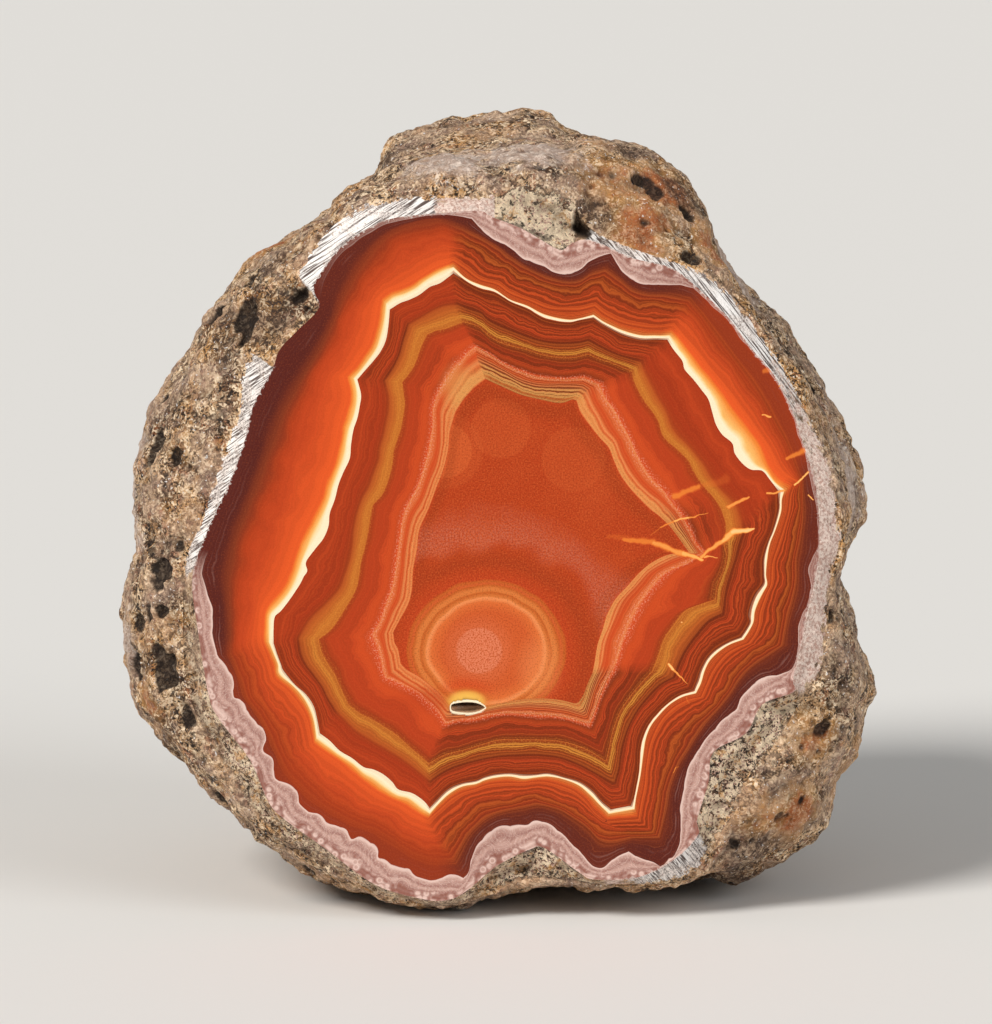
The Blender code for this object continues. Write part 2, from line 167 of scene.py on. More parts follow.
# The bands from the inside outwards, in millimetres. Each is thirteen arcs, and an arc starts on its
# seam and ends where the next one starts. Zone n of the cut lies between band n and band n + 1:
# zone 0 is the field inside the first band, and zone 10 runs from the last band to the cut's edge.
FIELD_EDGE = (
    ((-0.8, 10.6), (0.3, 10.1), (1.9, 9.4), (3.5, 9), (5.1, 8.7)),
    ((6.1, 9),),
    ((6.4, 8.9), (6.7, 8), (7.4, 7), (8.2, 6), (9, 5.1), (9.4, 4.1), (9.9, 3), (10.6, 2), (11.4, 1.1),
     (12.3, 0.2), (13.1, -0.4), (14.1, -1.4)),
    ((15.4, -3.2), (13.8, -3.4), (12.5, -4), (11.5, -4.8), (10.5, -5.9), (9.5, -7)),
    ((8.8, -8.3), (8.5, -9.4), (8.1, -10.6), (7.9, -11.8)),
    ((7.7, -12.9), (7.3, -13.8), (7, -14.6)),
    ((6.6, -15.2),),
    ((6.3, -15.3), (5, -15), (3.5, -14.9), (1.9, -15), (0.3, -15.3), (-0.6, -15.5), (-1.7, -15.7),
     (-2.7, -15.6)),
    ((-3.8, -15.4), (-4.4, -14.6), (-5.3, -13.8), (-6.2, -13.1), (-7.1, -12.6)),
    ((-7.6, -12.1), (-7.8, -11), (-8.1, -10.4)),
    ((-8.2, -9.6), (-7.6, -8.5), (-7, -7.4), (-6.7, -6.2), (-6.6, -4.6), (-6.3, -3), (-6.1, -1.4),
     (-5.4, 0.2), (-4.8, 1.8), (-4.2, 3.4), (-3.8, 5), (-3.7, 6.2), (-3.5, 7)),
    ((-3.2, 8), (-2.6, 9)),
    ((-1.8, 9.9),),
)
PALE_LINES = (
    ((-1.5, 12.4), (-0.5, 11.9), (0.7, 11.3), (1.9, 10.6), (3.5, 10.2), (5.1, 10.2), (6.2, 10.2)),
    ((7, 10.1),),
    ((7.4, 9.8), (7.8, 8.8), (8.4, 7.7), (9, 6.6), (9.7, 5.7), (10.1, 4.6), (10.7, 3.5), (11.5, 2.4),
     (12.4, 1.5), (13.2, 0.9), (14.1, 0), (15, -1.4)),
    ((16.2, -3.3), (14.7, -3.6), (13.5, -4.1), (12.3, -4.8), (11.3, -5.9), (10.3, -7)),
    ((9.7, -8.2), (9.2, -9.4), (8.8, -10.6), (8.6, -11.8)),
    ((8.3, -12.8), (7.9, -13.8), (7.5, -15)),
    ((7.2, -16.1),),
    ((7, -16.2), (5.7, -15.8), (4.3, -15.6), (2.7, -15.5), (1.1, -15.6), (-0.3, -15.8), (-1.4, -16.1),
     (-2.6, -16.4)),
    ((-4, -16.5), (-4.8, -15.5), (-5.7, -14.7), (-6.7, -14), (-7.7, -13.4)),
    ((-8.4, -12.9), (-8.6, -11.8), (-8.8, -10.9)),
    ((-9, -9.8), (-8.4, -8.2), (-7.8, -7), (-7.5, -5.4), (-7.3, -3.4), (-7, -1.4), (-6.6, -0.2),
     (-5.9, 1), (-5.3, 2.6), (-4.8, 3.8), (-4.5, 5.4), (-4.5, 7), (-4.5, 8.1)),
    ((-4.2, 9), (-3.6, 9.9), (-3, 10.9)),
    ((-2.4, 11.7), (-1.9, 12.1)),
)
GRAINY_LINE = (
    ((-1.6, 13.2), (-0.5, 12.6), (0.7, 11.8), (2.3, 11.1), (3.9, 10.7), (5.5, 10.6)),
    ((7, 10.7),),
    ((8.2, 10.2), (8.7, 9.1), (9.4, 8.2), (9.9, 7.2), (10.6, 6), (11.2, 4.6), (11.8, 3.5), (12.4, 2.6),
     (13.3, 1.7), (14.1, 0.6), (14.7, -0.2), (15.4, -1.4), (15.9, -2.5)),
    ((16.6, -3.2), (15.5, -4), (14.3, -4.5), (13.3, -5), (12.3, -6.1), (11.5, -7.2)),
    ((10.8, -8.4), (10.4, -9.4), (10, -10.6), (9.7, -11.7)),
    ((9.3, -12.6), (8.8, -13.6), (8.3, -14.8), (7.9, -15.9)),
    ((7.5, -16.9),),
    ((7.3, -16.9), (6.2, -16.6), (4.7, -16.3), (3.1, -16.2), (1.1, -16.1), (-0.5, -16.2),
     (-1.7, -16.5), (-2.9, -16.6)),
    ((-4, -16.9), (-4.6, -15.9), (-5.3, -15.2), (-6.2, -14.4), (-7.3, -13.8), (-8.1, -13.4)),
    ((-8.8, -13.2), (-9, -12.5), (-9.2, -11.4), (-9.4, -10.6)),
    ((-9.8, -9.8), (-9.1, -8.5), (-8.6, -7), (-8.2, -5.8), (-7.9, -4.2), (-7.7, -2.6), (-7.4, -0.6),
     (-7, 0.6), (-6.3, 1.9), (-5.8, 3.2), (-5.4, 4.6), (-5.2, 5.8), (-5, 7), (-5, 8.2)),
    ((-4.7, 9.2), (-4.3, 10), (-3.8, 10.8), (-3.2, 11.6)),
    ((-2.6, 12.2), (-2.1, 12.8)),
)
OCHRE_INNER = (
    ((-2.6, 15.2), (-1.4, 14.8), (-0.5, 14), (0.7, 13.4), (2.3, 13), (3.9, 12.5), (5.5, 12.3),
     (6.6, 12.4)),
    ((7.4, 12.6), (8.3, 12.2), (9.5, 11.8)),
    ((10.9, 11.2), (11, 10.6), (11.3, 9.9), (11.8, 9), (12.6, 7.9), (13, 7.2), (13.3, 6.2),
     (13.8, 5.6), (14.5, 5), (15.4, 4.1), (15.8, 3.3), (16.5, 2.2), (17.2, 1.4), (17.8, 0.6),
     (18.2, -0.3), (18.4, -1.3)),
    ((18.2, -2.6), (18.4, -3.5), (18.2, -4.6), (17.7, -5.8)),
    ((17.5, -7), (16.3, -7.4), (15.1, -7.9), (14.2, -9), (13.4, -10.2), (13, -11.4)),
    ((12.5, -12.7), (11.5, -13.8), (10.6, -14.9), (9.8, -16.2), (9.3, -17.6), (9, -19)),
    ((8.8, -19.9),),
    ((8.6, -19.8), (7.5, -19.1), (6.3, -18.6), (5, -18.3), (3.5, -18.2), (1.9, -18.2), (0.3, -18.2),
     (-0.9, -18.5), (-2.5, -19), (-4.1, -19.4)),
    ((-5.4, -20.1), (-6.2, -19.4), (-7, -18.7), (-8, -17.8), (-8.9, -17.2), (-9.9, -16.6),
     (-10.9, -16.1)),
    ((-11.8, -15.4), (-12.4, -14.1), (-12.9, -13), (-13.4, -12.2), (-13.9, -11.3)),
    ((-14.2, -10.2), (-13.1, -9.3), (-12.1, -7.8), (-11.3, -6.4), (-11, -5.4), (-10.8, -4),
     (-10.5, -2.9), (-10.2, -1.4), (-10, -0.2), (-9.8, 0.6), (-9.1, 1.4), (-8.6, 2.6), (-8.3, 3.8),
     (-8.2, 4.8), (-7.9, 5.8), (-7.6, 6.7), (-7.4, 7.8), (-7.3, 8.6), (-7.4, 9.6)),
    ((-7.5, 10.4), (-7, 11), (-6.5, 11.8), (-6.2, 12.6), (-5.9, 13.4)),
    ((-5.5, 14.2), (-4.8, 14.5), (-3.9, 14.7)),
)
OCHRE_OUTER = (
    ((-3.1, 16.6), (-2.1, 16.2), (-1.2, 15.9), (-0.7, 15.4), (0.2, 14.9), (1.7, 14.3), (3.1, 13.8),
     (4.6, 13.5), (6.3, 13.5)),
    ((7.4, 13.7), (8.3, 13.2), (9.6, 12.6)),
    ((11.6, 12), (11.9, 11.2), (12.4, 10.2), (13, 9.1), (13.6, 8.1), (14, 7), (14.5, 6.2), (15.2, 5.5),
     (15.9, 4.7), (16.6, 3.8), (17.2, 2.8), (17.9, 1.9), (18.6, 1.2), (19.2, 0.5), (19.5, -0.3)),
    ((19.8, -1.5), (19.4, -2.6), (19.1, -3.8), (18.7, -5), (18.4, -6.1)),
    ((18.1, -8.1), (17, -8.7), (16.1, -9.7), (15.3, -10.8), (14.7, -11.9)),
    ((14.2, -13.2), (13.1, -13.8), (12.1, -14.8), (11.2, -16), (10.5, -17.4), (10, -19), (9.8, -20.5)),
    ((9.5, -21.6),),
    ((9.3, -21.6), (8, -20.9), (6.7, -20.2), (5.1, -19.6), (3.5, -19.4), (1.9, -19.4), (0.3, -19.5),
     (-1.3, -19.8), (-2.9, -20.2), (-4.1, -20.7)),
    ((-5.3, -21.5), (-6.4, -20.6), (-7.6, -19.7), (-8.9, -18.9), (-10.1, -18.2), (-11.3, -17.4),
     (-12.1, -16.6)),
    ((-12.8, -15.9), (-13.4, -15), (-13.9, -14), (-14.6, -13), (-15.2, -12.2), (-15.6, -11.3)),
    ((-15.8, -10.1), (-14.9, -8.6), (-13.7, -7.4), (-12.6, -6.2), (-12.1, -5), (-11.7, -3.8),
     (-11.5, -2.6), (-11.4, -1.4), (-11.1, 0), (-10.7, 1.1), (-10.2, 2), (-9.8, 3.1), (-9.4, 4.2),
     (-9.3, 5.1), (-9, 6.2), (-8.8, 7.2), (-8.6, 8.2), (-8.6, 9.3)),
    ((-8.9, 10.5), (-8.2, 11.6), (-7.7, 12.7), (-7.4, 13.8)),
    ((-7, 15), (-6.1, 15.5), (-5.1, 16.1), (-4.1, 16.5)),
)
WHITE_INNER = (
    ((-3.4, 19.1), (-2.4, 18.4), (-1.3, 17.8), (-0.1, 17.5), (1.1, 16.8), (2.5, 16.2), (3.9, 15.4),
     (5.7, 15.1), (6.7, 15.3)),
    ((7.8, 15.5), (8.7, 14.9), (10.1, 14.2), (11.5, 13.8), (12.7, 13.8)),
    ((13.7, 13.8), (14.2, 13), (14.9, 12.1), (15.1, 11.4), (15.8, 10.6), (16.5, 9.7), (17, 9),
     (17.3, 8), (17.6, 7), (18.1, 6.2), (18.9, 5.5), (19.1, 4.7), (19.7, 3.9), (20.4, 3.4),
     (21.3, 3.3), (21.9, 2.6)),
    ((22.6, 1.7), (22.6, 1), (22.6, 0.2), (22.2, -1.3), (21.7, -2.6), (21.4, -3.8), (21.4, -5),
     (21.4, -5.7), (20.8, -6.5), (20.4, -7.4), (20.2, -8.2), (20.3, -8.8), (20, -9.4)),
    ((19.6, -10), (18.6, -10.4), (17.6, -11), (16.9, -11.7), (16.4, -12.6), (16.1, -13.5)),
    ((15.8, -14.2), (14.7, -14.6), (13.8, -15.2), (12.9, -16), (12.2, -16.9), (11.7, -18),
     (11.4, -19.2), (11.4, -20.6), (11.2, -21.8), (11, -22.8)),
    ((10.8, -23.5),),
    ((9.2, -23.8), (8.4, -23.1), (7.7, -22.3), (6.7, -21.6), (5.4, -21.2), (4.2, -20.9), (3.1, -21),
     (2.2, -21), (1.1, -20.9), (-0.1, -21), (-0.9, -21.2), (-1.6, -21.5), (-2.7, -21.7), (-3.7, -22.1),
     (-4.5, -22.8)),
    ((-5.3, -23.7), (-5.8, -23.1), (-6.7, -22.5), (-7.8, -22.2), (-8.3, -21.6), (-9, -21),
     (-9.8, -20.6), (-10.6, -20.4), (-11.5, -19.7), (-12.5, -19.1), (-13.3, -18.3)),
    ((-14.1, -17.7), (-14.3, -16.6), (-14.6, -15.5), (-15.2, -14.6), (-16.1, -13.8), (-17, -12.7),
     (-17.2, -12.2), (-17.5, -11.4)),
    ((-17.8, -10.5), (-17.8, -9.4), (-17.7, -8.4), (-17.2, -7.9), (-16.5, -7), (-15.7, -5.8),
     (-15.4, -5.2), (-15.1, -4.7), (-15.2, -4), (-14.5, -3), (-13.8, -2.1), (-13.4, -1.1),
     (-13.3, -0.1), (-12.9, 1), (-12.6, 2.2), (-12.2, 3.2), (-11.7, 4.3), (-11.6, 5.4), (-11.4, 6.6),
     (-11.1, 7.5), (-10.9, 8.5), (-10.8, 9.4)),
    ((-11.1, 10.6), (-10.5, 11.3), (-9.8, 12.1), (-9.2, 12.9), (-8.8, 13.8), (-8.6, 15)),
    ((-8.5, 16.2), (-7.7, 16.7), (-6.9, 17), (-6.1, 17.4), (-5.3, 18), (-4.5, 18.3), (-3.8, 18.8)),
)
WHITE_OUTER = (
    ((-3.4, 19.6), (-2.4, 18.7), (-1.3, 18.2), (-0.1, 17.8), (1.1, 17), (2.5, 16.5), (3.9, 15.8),
     (5.7, 15.4), (6.7, 15.5)),
    ((7.8, 15.8), (8.7, 15.2), (10.1, 14.6), (11.5, 14.2), (12.7, 14.2)),
    ((14, 14.3), (14.7, 13.6), (15.5, 12.6), (16.3, 11.5), (17.3, 10.3), (18.1, 9.2), (19.1, 7.8),
     (20.2, 6.4), (21, 5.3), (21.4, 4.3), (21.8, 3.4), (22.4, 2.4)),
    ((23.2, 1.8), (22.9, 1), (22.8, 0), (22.4, -1.3), (21.9, -2.6), (21.7, -3.8), (21.6, -5),
     (21.7, -5.8), (21.4, -6.4), (21, -7.2), (20.7, -8), (20.6, -8.8), (20.2, -9.6)),
    ((19.8, -10.2), (18.7, -10.6), (17.8, -11.2), (17.1, -11.9), (16.7, -12.7), (16.4, -13.7)),
    ((16, -14.5), (14.9, -14.8), (13.9, -15.4), (13.1, -16.2), (12.4, -17.1), (12, -18.1),
     (11.8, -19.3), (11.6, -20.8), (11.4, -21.9), (11.2, -22.9)),
    ((11.1, -23.8),),
    ((9, -24.2), (8.2, -23.4), (7.4, -22.6), (6.6, -21.9), (5.4, -21.4), (4.2, -21.2), (3.1, -21.3),
     (2.2, -21.4), (1.1, -21.2), (-0.1, -21.3), (-0.9, -21.5), (-1.6, -21.8), (-2.7, -22),
     (-3.6, -22.5), (-4.4, -23.2)),
    ((-5.3, -24.2), (-6.1, -23.7), (-7, -23), (-8, -22.7), (-9, -22.1), (-9.8, -21.5), (-10.6, -21),
     (-11.5, -20.2), (-12.6, -19.5), (-13.4, -18.9)),
    ((-14.4, -18.2), (-14.6, -16.8), (-15, -15.7), (-15.5, -14.8), (-16.3, -13.9), (-17.4, -13),
     (-17.5, -12.2), (-17.8, -11.4)),
    ((-18.2, -10.4), (-18.2, -9.3), (-18.1, -8.2), (-17.4, -7.4), (-16.6, -6.4), (-16.1, -5.4),
     (-15.8, -4.6), (-15.6, -4), (-15.2, -3), (-14.7, -1.8), (-14.2, -0.8), (-13.8, 0), (-13.4, 1),
     (-13.1, 2.1), (-12.7, 3.2), (-12.2, 4.6), (-12, 5.8), (-11.8, 6.7), (-11.4, 7.8), (-11.2, 8.8),
     (-11.2, 9.8)),
    ((-11.4, 10.7), (-10.8, 11.4), (-10.2, 12.2), (-9.6, 13.1), (-9.3, 14), (-9, 15.2)),
    ((-8.8, 16.7), (-8.2, 17.2), (-7.3, 17.5), (-6.5, 17.9), (-5.7, 18.5), (-4.9, 19), (-4.1, 19.4)),
)
BRIGHT_LINE = (
    ((-3.4, 20.1), (-2.4, 19.4), (-1.3, 18.6), (0.1, 18.2), (1.1, 17.5), (2.7, 16.9), (4.2, 16.3),
     (5.7, 16.2), (6.7, 16.2)),
    ((7.9, 16.5), (8.8, 15.8), (10.1, 15.2), (11.5, 14.9), (12.7, 14.8)),
    ((14.2, 15), (15.2, 14), (16.2, 12.9), (17.1, 11.7), (18.1, 10.5), (19, 9.4), (20.1, 7.9),
     (21.1, 6.5), (21.9, 5.3), (22.5, 4.2), (23.1, 3.2)),
    ((24.1, 2.5), (23.6, 1.4), (23.4, 0), (23, -1.4), (22.5, -2.9), (22.1, -4.2), (22, -5.7),
     (21.7, -6.4), (21.4, -7.2), (21.1, -8.1), (21, -9), (20.7, -9.8)),
    ((20.2, -10.5), (19.2, -10.9), (18.4, -11.4), (17.7, -12.2), (17.2, -13), (16.8, -13.9)),
    ((16.4, -14.8), (15.4, -15), (14.4, -15.5), (13.6, -16.2), (13, -17), (12.5, -18.1), (12.2, -19.2),
     (12, -20.6), (11.9, -21.8), (11.6, -23.3)),
    ((11.4, -24.6),),
    ((8.8, -24.8), (7.8, -24), (7.1, -23.1), (6.1, -22.3), (4.7, -21.8), (3.5, -21.6), (2.2, -21.7),
     (1, -21.7), (-0.5, -21.8), (-1.7, -22.2), (-2.7, -22.5), (-3.6, -23), (-4.5, -23.8)),
    ((-5.5, -24.7), (-6.5, -24.2), (-7.7, -23.5), (-8.9, -22.9), (-10.1, -22.2), (-11.2, -21.4),
     (-12.2, -20.5), (-13.3, -19.6)),
    ((-14.7, -18.7), (-15, -17), (-15.4, -16), (-16, -15.1), (-16.8, -14.2), (-17.8, -13.4),
     (-18.1, -12.4), (-18.4, -11.4)),
    ((-18.8, -10.3), (-18.8, -9), (-18.6, -7.7), (-18, -6.7), (-17.2, -5.6), (-16.6, -4.5),
     (-16.2, -3.3), (-15.8, -2.1), (-15.2, -0.8), (-14.6, 0.3), (-14.1, 1.4), (-13.8, 2.7), (-13.2, 4),
     (-12.8, 5.4), (-12.6, 6.6), (-12.2, 8), (-11.9, 9.1), (-11.9, 9.9)),
    ((-12.2, 10.9), (-11.4, 11.7), (-10.8, 12.5), (-10.2, 13.4), (-9.9, 14.2), (-9.6, 15.5)),
    ((-9.3, 17.2), (-8.5, 17.8), (-7.5, 18.1), (-6.6, 18.5), (-5.8, 19), (-4.8, 19.6), (-4, 19.9)),
)
PLUM_EDGE = (
    ((-2.7, 22.8), (-1.3, 22.1), (0.1, 21.3), (1.3, 20.4), (2.7, 19.5), (4.1, 18.9), (5.5, 18.5),
     (6.7, 18.6), (7.7, 19.2)),
    ((8.8, 19.5), (9.8, 18.8), (10.9, 17.9), (12.2, 17.5), (13.8, 17.4)),
    ((15.5, 17), (16.7, 15.5), (18.1, 13.6), (19.7, 11.5), (21.1, 9.5), (22.2, 7.5), (23.3, 5.5),
     (23.9, 3.9)),
    ((24.5, 2.4), (24.6, 1), (24.6, -0.6), (24.4, -2.2), (24.1, -3.8), (24.1, -5.4), (23.8, -7),
     (23.4, -8.6)),
    ((23, -10.7), (21.7, -11.6), (20.4, -12.5), (19.5, -13.5), (18.8, -14.6)),
    ((18, -15.6), (17.1, -16.6), (16.2, -17.8), (15.4, -19.1), (14.6, -20.4), (14, -22), (13.7, -23.7)),
    ((13.1, -26.1),),
    ((11, -26.1), (9.4, -26.5), (8.3, -26.3), (7.4, -25.4), (6.3, -24.6), (5.1, -23.9), (3.5, -23.5),
     (2.3, -23.7), (0.7, -24), (-0.6, -24.5), (-1.7, -25.4), (-2.4, -26.3)),
    ((-3.3, -28), (-5.1, -28), (-6.9, -27.4), (-8.3, -26.4), (-9.6, -25.7), (-11, -25.2),
     (-12.5, -24.5), (-14.1, -23.5), (-15.3, -22.6), (-16.5, -21.4)),
    ((-17.3, -20.1), (-17.9, -18.7), (-18.6, -17.3), (-19.3, -16), (-20, -15), (-20.4, -13.9),
     (-20.8, -12.8)),
    ((-21.4, -11.4), (-21.4, -9.6), (-21.5, -7.8), (-21.6, -6.2), (-21.5, -4.4), (-21, -2.2),
     (-20.1, 0.2), (-19.2, 2.6), (-18.3, 5), (-17.3, 7.8), (-16.4, 9.5)),
    ((-15.5, 11), (-14.3, 13)),
    ((-13, 15.5), (-12.1, 17.7), (-11, 19.6), (-9.7, 21.4), (-8.1, 22.6), (-6.1, 23.3), (-4.4, 23.4)),
)
LILAC_EDGE = (
    ((-1.9, 23.5), (-1.1, 22.5), (0.1, 21.6), (1.3, 21), (2.4, 20.1), (3.6, 19.7), (4.6, 19.2),
     (5.7, 19), (6.7, 19.4), (7.7, 20.2)),
    ((9.2, 20.7), (9.7, 19.8), (10.4, 18.9), (11.5, 18.3), (13.1, 18.1), (14.6, 18.2)),
    ((15.8, 17.9), (16.7, 17.1), (17.6, 16.2), (18.7, 15.2), (19.7, 13.7), (20.9, 12.7), (21.7, 11.8),
     (22.3, 10.6), (23.1, 9.4), (23.7, 8), (24.1, 6.4), (24.6, 5.1)),
    ((25, 3.4), (25.3, 1.8), (25.6, 0.6), (25.8, -1), (25.8, -2.6), (25.3, -3.7), (25, -4.8),
     (25.3, -6.1), (25, -7.3), (24.5, -8.2), (24.2, -9.3)),
    ((24.2, -10.6), (24, -11.8), (23.6, -12.6), (22.7, -13), (21.5, -13.2), (20.5, -13.8),
     (19.8, -14.6)),
    ((19.3, -15.7), (18.2, -16.6), (17.1, -17.8), (16.1, -19), (15.5, -20.2), (15, -21.8),
     (14.7, -23.7), (14.8, -25), (14.7, -26.4)),
    ((14.1, -27.9), (13.3, -28.4), (12.5, -27.9), (11.7, -27.7)),
    ((10.6, -27.2), (9.5, -27.7), (8.6, -28.4), (7.8, -28.3), (6.9, -27.4), (5.9, -26.4), (5.1, -25.5),
     (4.2, -24.9), (3.1, -24.7), (2.3, -25), (1.2, -24.9), (0.2, -25.1), (-0.7, -25.7), (-1.5, -26.6),
     (-1.9, -27.7), (-2.2, -28.8)),
    ((-2.6, -29.3), (-3.5, -29), (-4.5, -29.3), (-5.4, -29.4), (-6.5, -29), (-7, -28.5), (-7.9, -28.3),
     (-8.9, -27.8), (-9.4, -27.6), (-9.4, -26.9), (-9.9, -26.2), (-10.9, -25.9), (-11.5, -26.1),
     (-12, -25.4), (-12.8, -25.1), (-13.4, -24.9), (-14.1, -24.2), (-14.9, -24), (-15.7, -23.4),
     (-15.9, -22.4), (-16.6, -21.7), (-17.5, -21.3)),
    ((-17.8, -20.6), (-17.9, -19.7), (-18.6, -19), (-18.4, -18.2), (-18.6, -17.4), (-19.1, -16.8),
     (-19.6, -16.3), (-19.8, -15.7), (-20.5, -15), (-21, -14.8), (-21, -13.8), (-21.2, -12.8),
     (-21.8, -12)),
    ((-22.3, -11.4), (-22.6, -10.2), (-22.6, -9), (-22.7, -7.8), (-23, -6.6), (-23.4, -5.4),
     (-23.5, -4.6), (-23, -3), (-22.4, -1.3), (-21.1, 1.8), (-19.9, 4.8), (-19.1, 8), (-17.9, 10.8)),
    ((-17, 12.3), (-15.8, 13.8)),
    ((-13.9, 16), (-14, 17.4), (-13.4, 19.2), (-12, 21), (-9.5, 22.7), (-7.7, 23.3), (-4.5, 23.8)),
)
BANDS = (
    FIELD_EDGE, PALE_LINES, GRAINY_LINE, OCHRE_INNER, OCHRE_OUTER,
    WHITE_INNER, WHITE_OUTER, BRIGHT_LINE, PLUM_EDGE, LILAC_EDGE,
)
ZONES = len(BANDS) + 1
FIELD_MIDDLE = (1.1, -3.0)

# The thirteen sectors between the seams: columns of the mesh, how dark the plum zone is, how early
# the white band turns to glow, how straw-coloured zone 1 is, and how strongly fine lines show in
# zones 1 to 10, from 0 (smooth and glowing) to 1 (finely lined).
SECTORS = (
    (94, 1, 0, 1, (1, 0.8, 0.9, 1, 1, 1, 0.9, 0.9, 0.6, 0.3)),
    (56, 0.8, 0.1, 0.9, (0.5, 0.7, 0.8, 1, 0.9, 0.8, 0.7, 0.8, 0.6, 0.3)),
    (142, 0.12, 0.45, 0.6, (0, 0.1, 0.1, 0.1, 0.1, 0, 0, 0.2, 0.25, 0.1)),
    (110, 0.7, 0, 0.5, (0.1, 0.2, 0.1, 0.9, 0.9, 0.9, 0.9, 0.9, 0.7, 0.2)),
    (64, 1, 0, 0.7, (0, 0.1, 0.1, 0.3, 1, 0.9, 0.9, 0.8, 0.7, 0.3)),
    (118, 1, 0, 0.8, (0.9, 1, 0.9, 1, 1, 1, 0.9, 0.8, 0.8, 0.4)),
    (34, 1, 0.1, 0.2, (0.6, 0.7, 0.8, 1, 0.8, 0.3, 0.4, 1, 1, 0.4)),
    (134, 0.75, 0.1, 0.5, (0.6, 0.8, 0.8, 1, 0.9, 0.8, 0.6, 0.7, 0.8, 0.2)),
    (142, 0.2, 0.1, 0, (0.1, 0.1, 0.1, 0.3, 0.2, 0.1, 0.1, 0.15, 0.1, 0.2)),
    (80, 0.3, 0.1, 0, (0.1, 0.1, 0.1, 0.3, 0.7, 0.4, 0.3, 0.3, 0.3, 0.3)),
    (204, 1, 0, 0.1, (0.1, 0.1, 0.15, 0.1, 0.25, 0, 0, 0.05, 0.1, 0.1)),
    (48, 1, 0, 0.7, (0.1, 0.1, 0.3, 0.1, 0.8, 0.1, 0.1, 0.05, 0.1, 0.1)),
    (102, 0.8, 0, 0.9, (0.1, 0.1, 0.1, 0.2, 0.3, 0.1, 0.1, 0.1, 0.1, 0.1)),
)
COLUMNS = sum(row[0] for row in SECTORS)

# Columns over which one sector's look turns into the next one's.
SEAM_BLUR = 13

# Columns in the running average of their angles at the edge of the cut, and how much of an even
# spacing they take there.
ANGLE_BLUR = 15
EVEN_SHARE = 0.04

# A patch of finer lines beside the flames: right, up and reach in millimetres, its strength, and the
# band coordinate where it ends.
LINED_PATCH = (15.6, -1.5, 2.2, 0.9, 3.9)

# How far inside the cut's edge the last two bands are held: (band, room in millimetres). The second
# number is the power by which the field's rings crowd towards its edge.
EDGE_ROOM = ((-2, 0.25), (-1, 0.12))
FIELD_CROWDING = 2.5

# Rings of the mesh in each zone of the cut, on the bevel, and on the rind's front, middle and back,
# and points on each span of a drawn curve.
ZONE_RINGS = (26, 4, 3, 4, 4, 4, 2, 2, 7, 4, 4)
BEVEL_RINGS = 24
RIND_RINGS = (72, 58, 70)
CURVE_STEPS = 8

# Fine relief of the rind: (size, height) of its lumps with creases between them, in millimetres,
# and of the grains on them.
FOLDS = ((3.9, 0.55), (2.1, 0.34))
FOLD_SEED = 41
BUMPS = ((1.2, 0.17), (0.62, 0.13), (0.36, 0.07))
BUMP_SEED = 31

# The height of a fold below which it turns into one of the creases, which get painted shade, and the
# share of the flank over which the creases and pits set in.
CREASE_EDGE = 0.12
RELIEF_START = 0.08

# Small open cells in the rind: (spacing, reach as a share of it, depth), in millimetres.
CELLS = ((3.6, 0.30, 0.6), (1.5, 0.30, 0.32))
CELL_SEED = 57

# The noise that makes the outlines of pits and cells ragged: (size in millimetres, share of their reach).
PIT_RAGS = ((0.9, 0.3), (0.42, 0.22))

# Where the bevel is ground (grey, scratched), sugary (fine pinkish grains) or cream host rock; what
# is left is tan. The last share is how much lilac lies inside it. Rows are (angle round the cut in
# degrees, ground, sugary, cream, lilac).
BEVEL_LOOKS = (
    (0, 0.5, 0.65, 0, 0.5), (22, 0.6, 0.5, 0, 0.6), (45, 0.9, 0.1, 0, 0.6), (60, 0.9, 0, 0, 1),
    (71, 0.8, 0, 0.1, 1), (73, 0, 0, 0, 1), (75, 0, 0, 1, 1), (89, 0, 0, 1, 1), (91, 0, 0.8, 0.1, 1),
    (98, 0.3, 0.7, 0, 0.8), (106, 1, 0, 0, 0.6), (129, 1, 0, 0, 0), (131, 0, 0, 0, 0), (146, 0, 0, 0, 0),
    (148, 1, 0, 0, 0), (187, 1, 0, 0, 0), (191, 0.5, 0.2, 0, 0.6), (196, 0, 0.4, 0.4, 1),
    (220, 0, 0.4, 0.55, 1), (262, 0, 0.3, 0.5, 1), (270, 0, 0.1, 0.5, 0.9), (274, 0, 0, 1, 1),
    (283, 0, 0, 0.9, 1), (287, 0.3, 0.6, 0, 1), (296, 0.9, 0.1, 0, 1), (301, 0.7, 0, 0.2, 1),
    (305, 0, 0, 1, 1), (326, 0, 0, 1, 1), (331, 0.4, 0.7, 0, 1), (345, 0.4, 0.7, 0, 0.6),
)

# Tinted patches of the rind: (right, up, depth, reach), in millimetres.
RUST_PATCHES = (
    (8.6, 25, 5, 3.6), (11.5, 22.5, 3, 3), (8, 27.5, 9, 2.5), (26, -20, 11, 3.5), (24, -24, 4, 2.8),
    (21, -23.8, 3, 2.2), (30, -9, 16, 3.5), (-29, -14.5, 14, 3.2), (-18, 21, 12, 3), (12, 28, 30, 6),
    (-20, 4, 36, 6), (18, -12, 38, 5), (25, -18, 3, 2.2), (14, 26.5, 5, 3.2), (17.5, 21.5, 5, 2.4),
    (-27, -15, 5, 2.2),
)
GREY_PATCHES = (
    (2.5, 28, 6, 4.5), (-4, 27.5, 5, 3.5), (26, -24.5, 12, 3.2), (27.5, -17, 14, 3.2),
    (28.5, 2.5, 18, 4.5), (-28.5, 3, 12, 4.5), (-27.5, -1.5, 9, 3), (-28, -10, 9, 3), (20, 21, 20, 5),
    (-10, 24, 34, 7), (6, -8, 43, 8), (-22, -12, 34, 6),
)
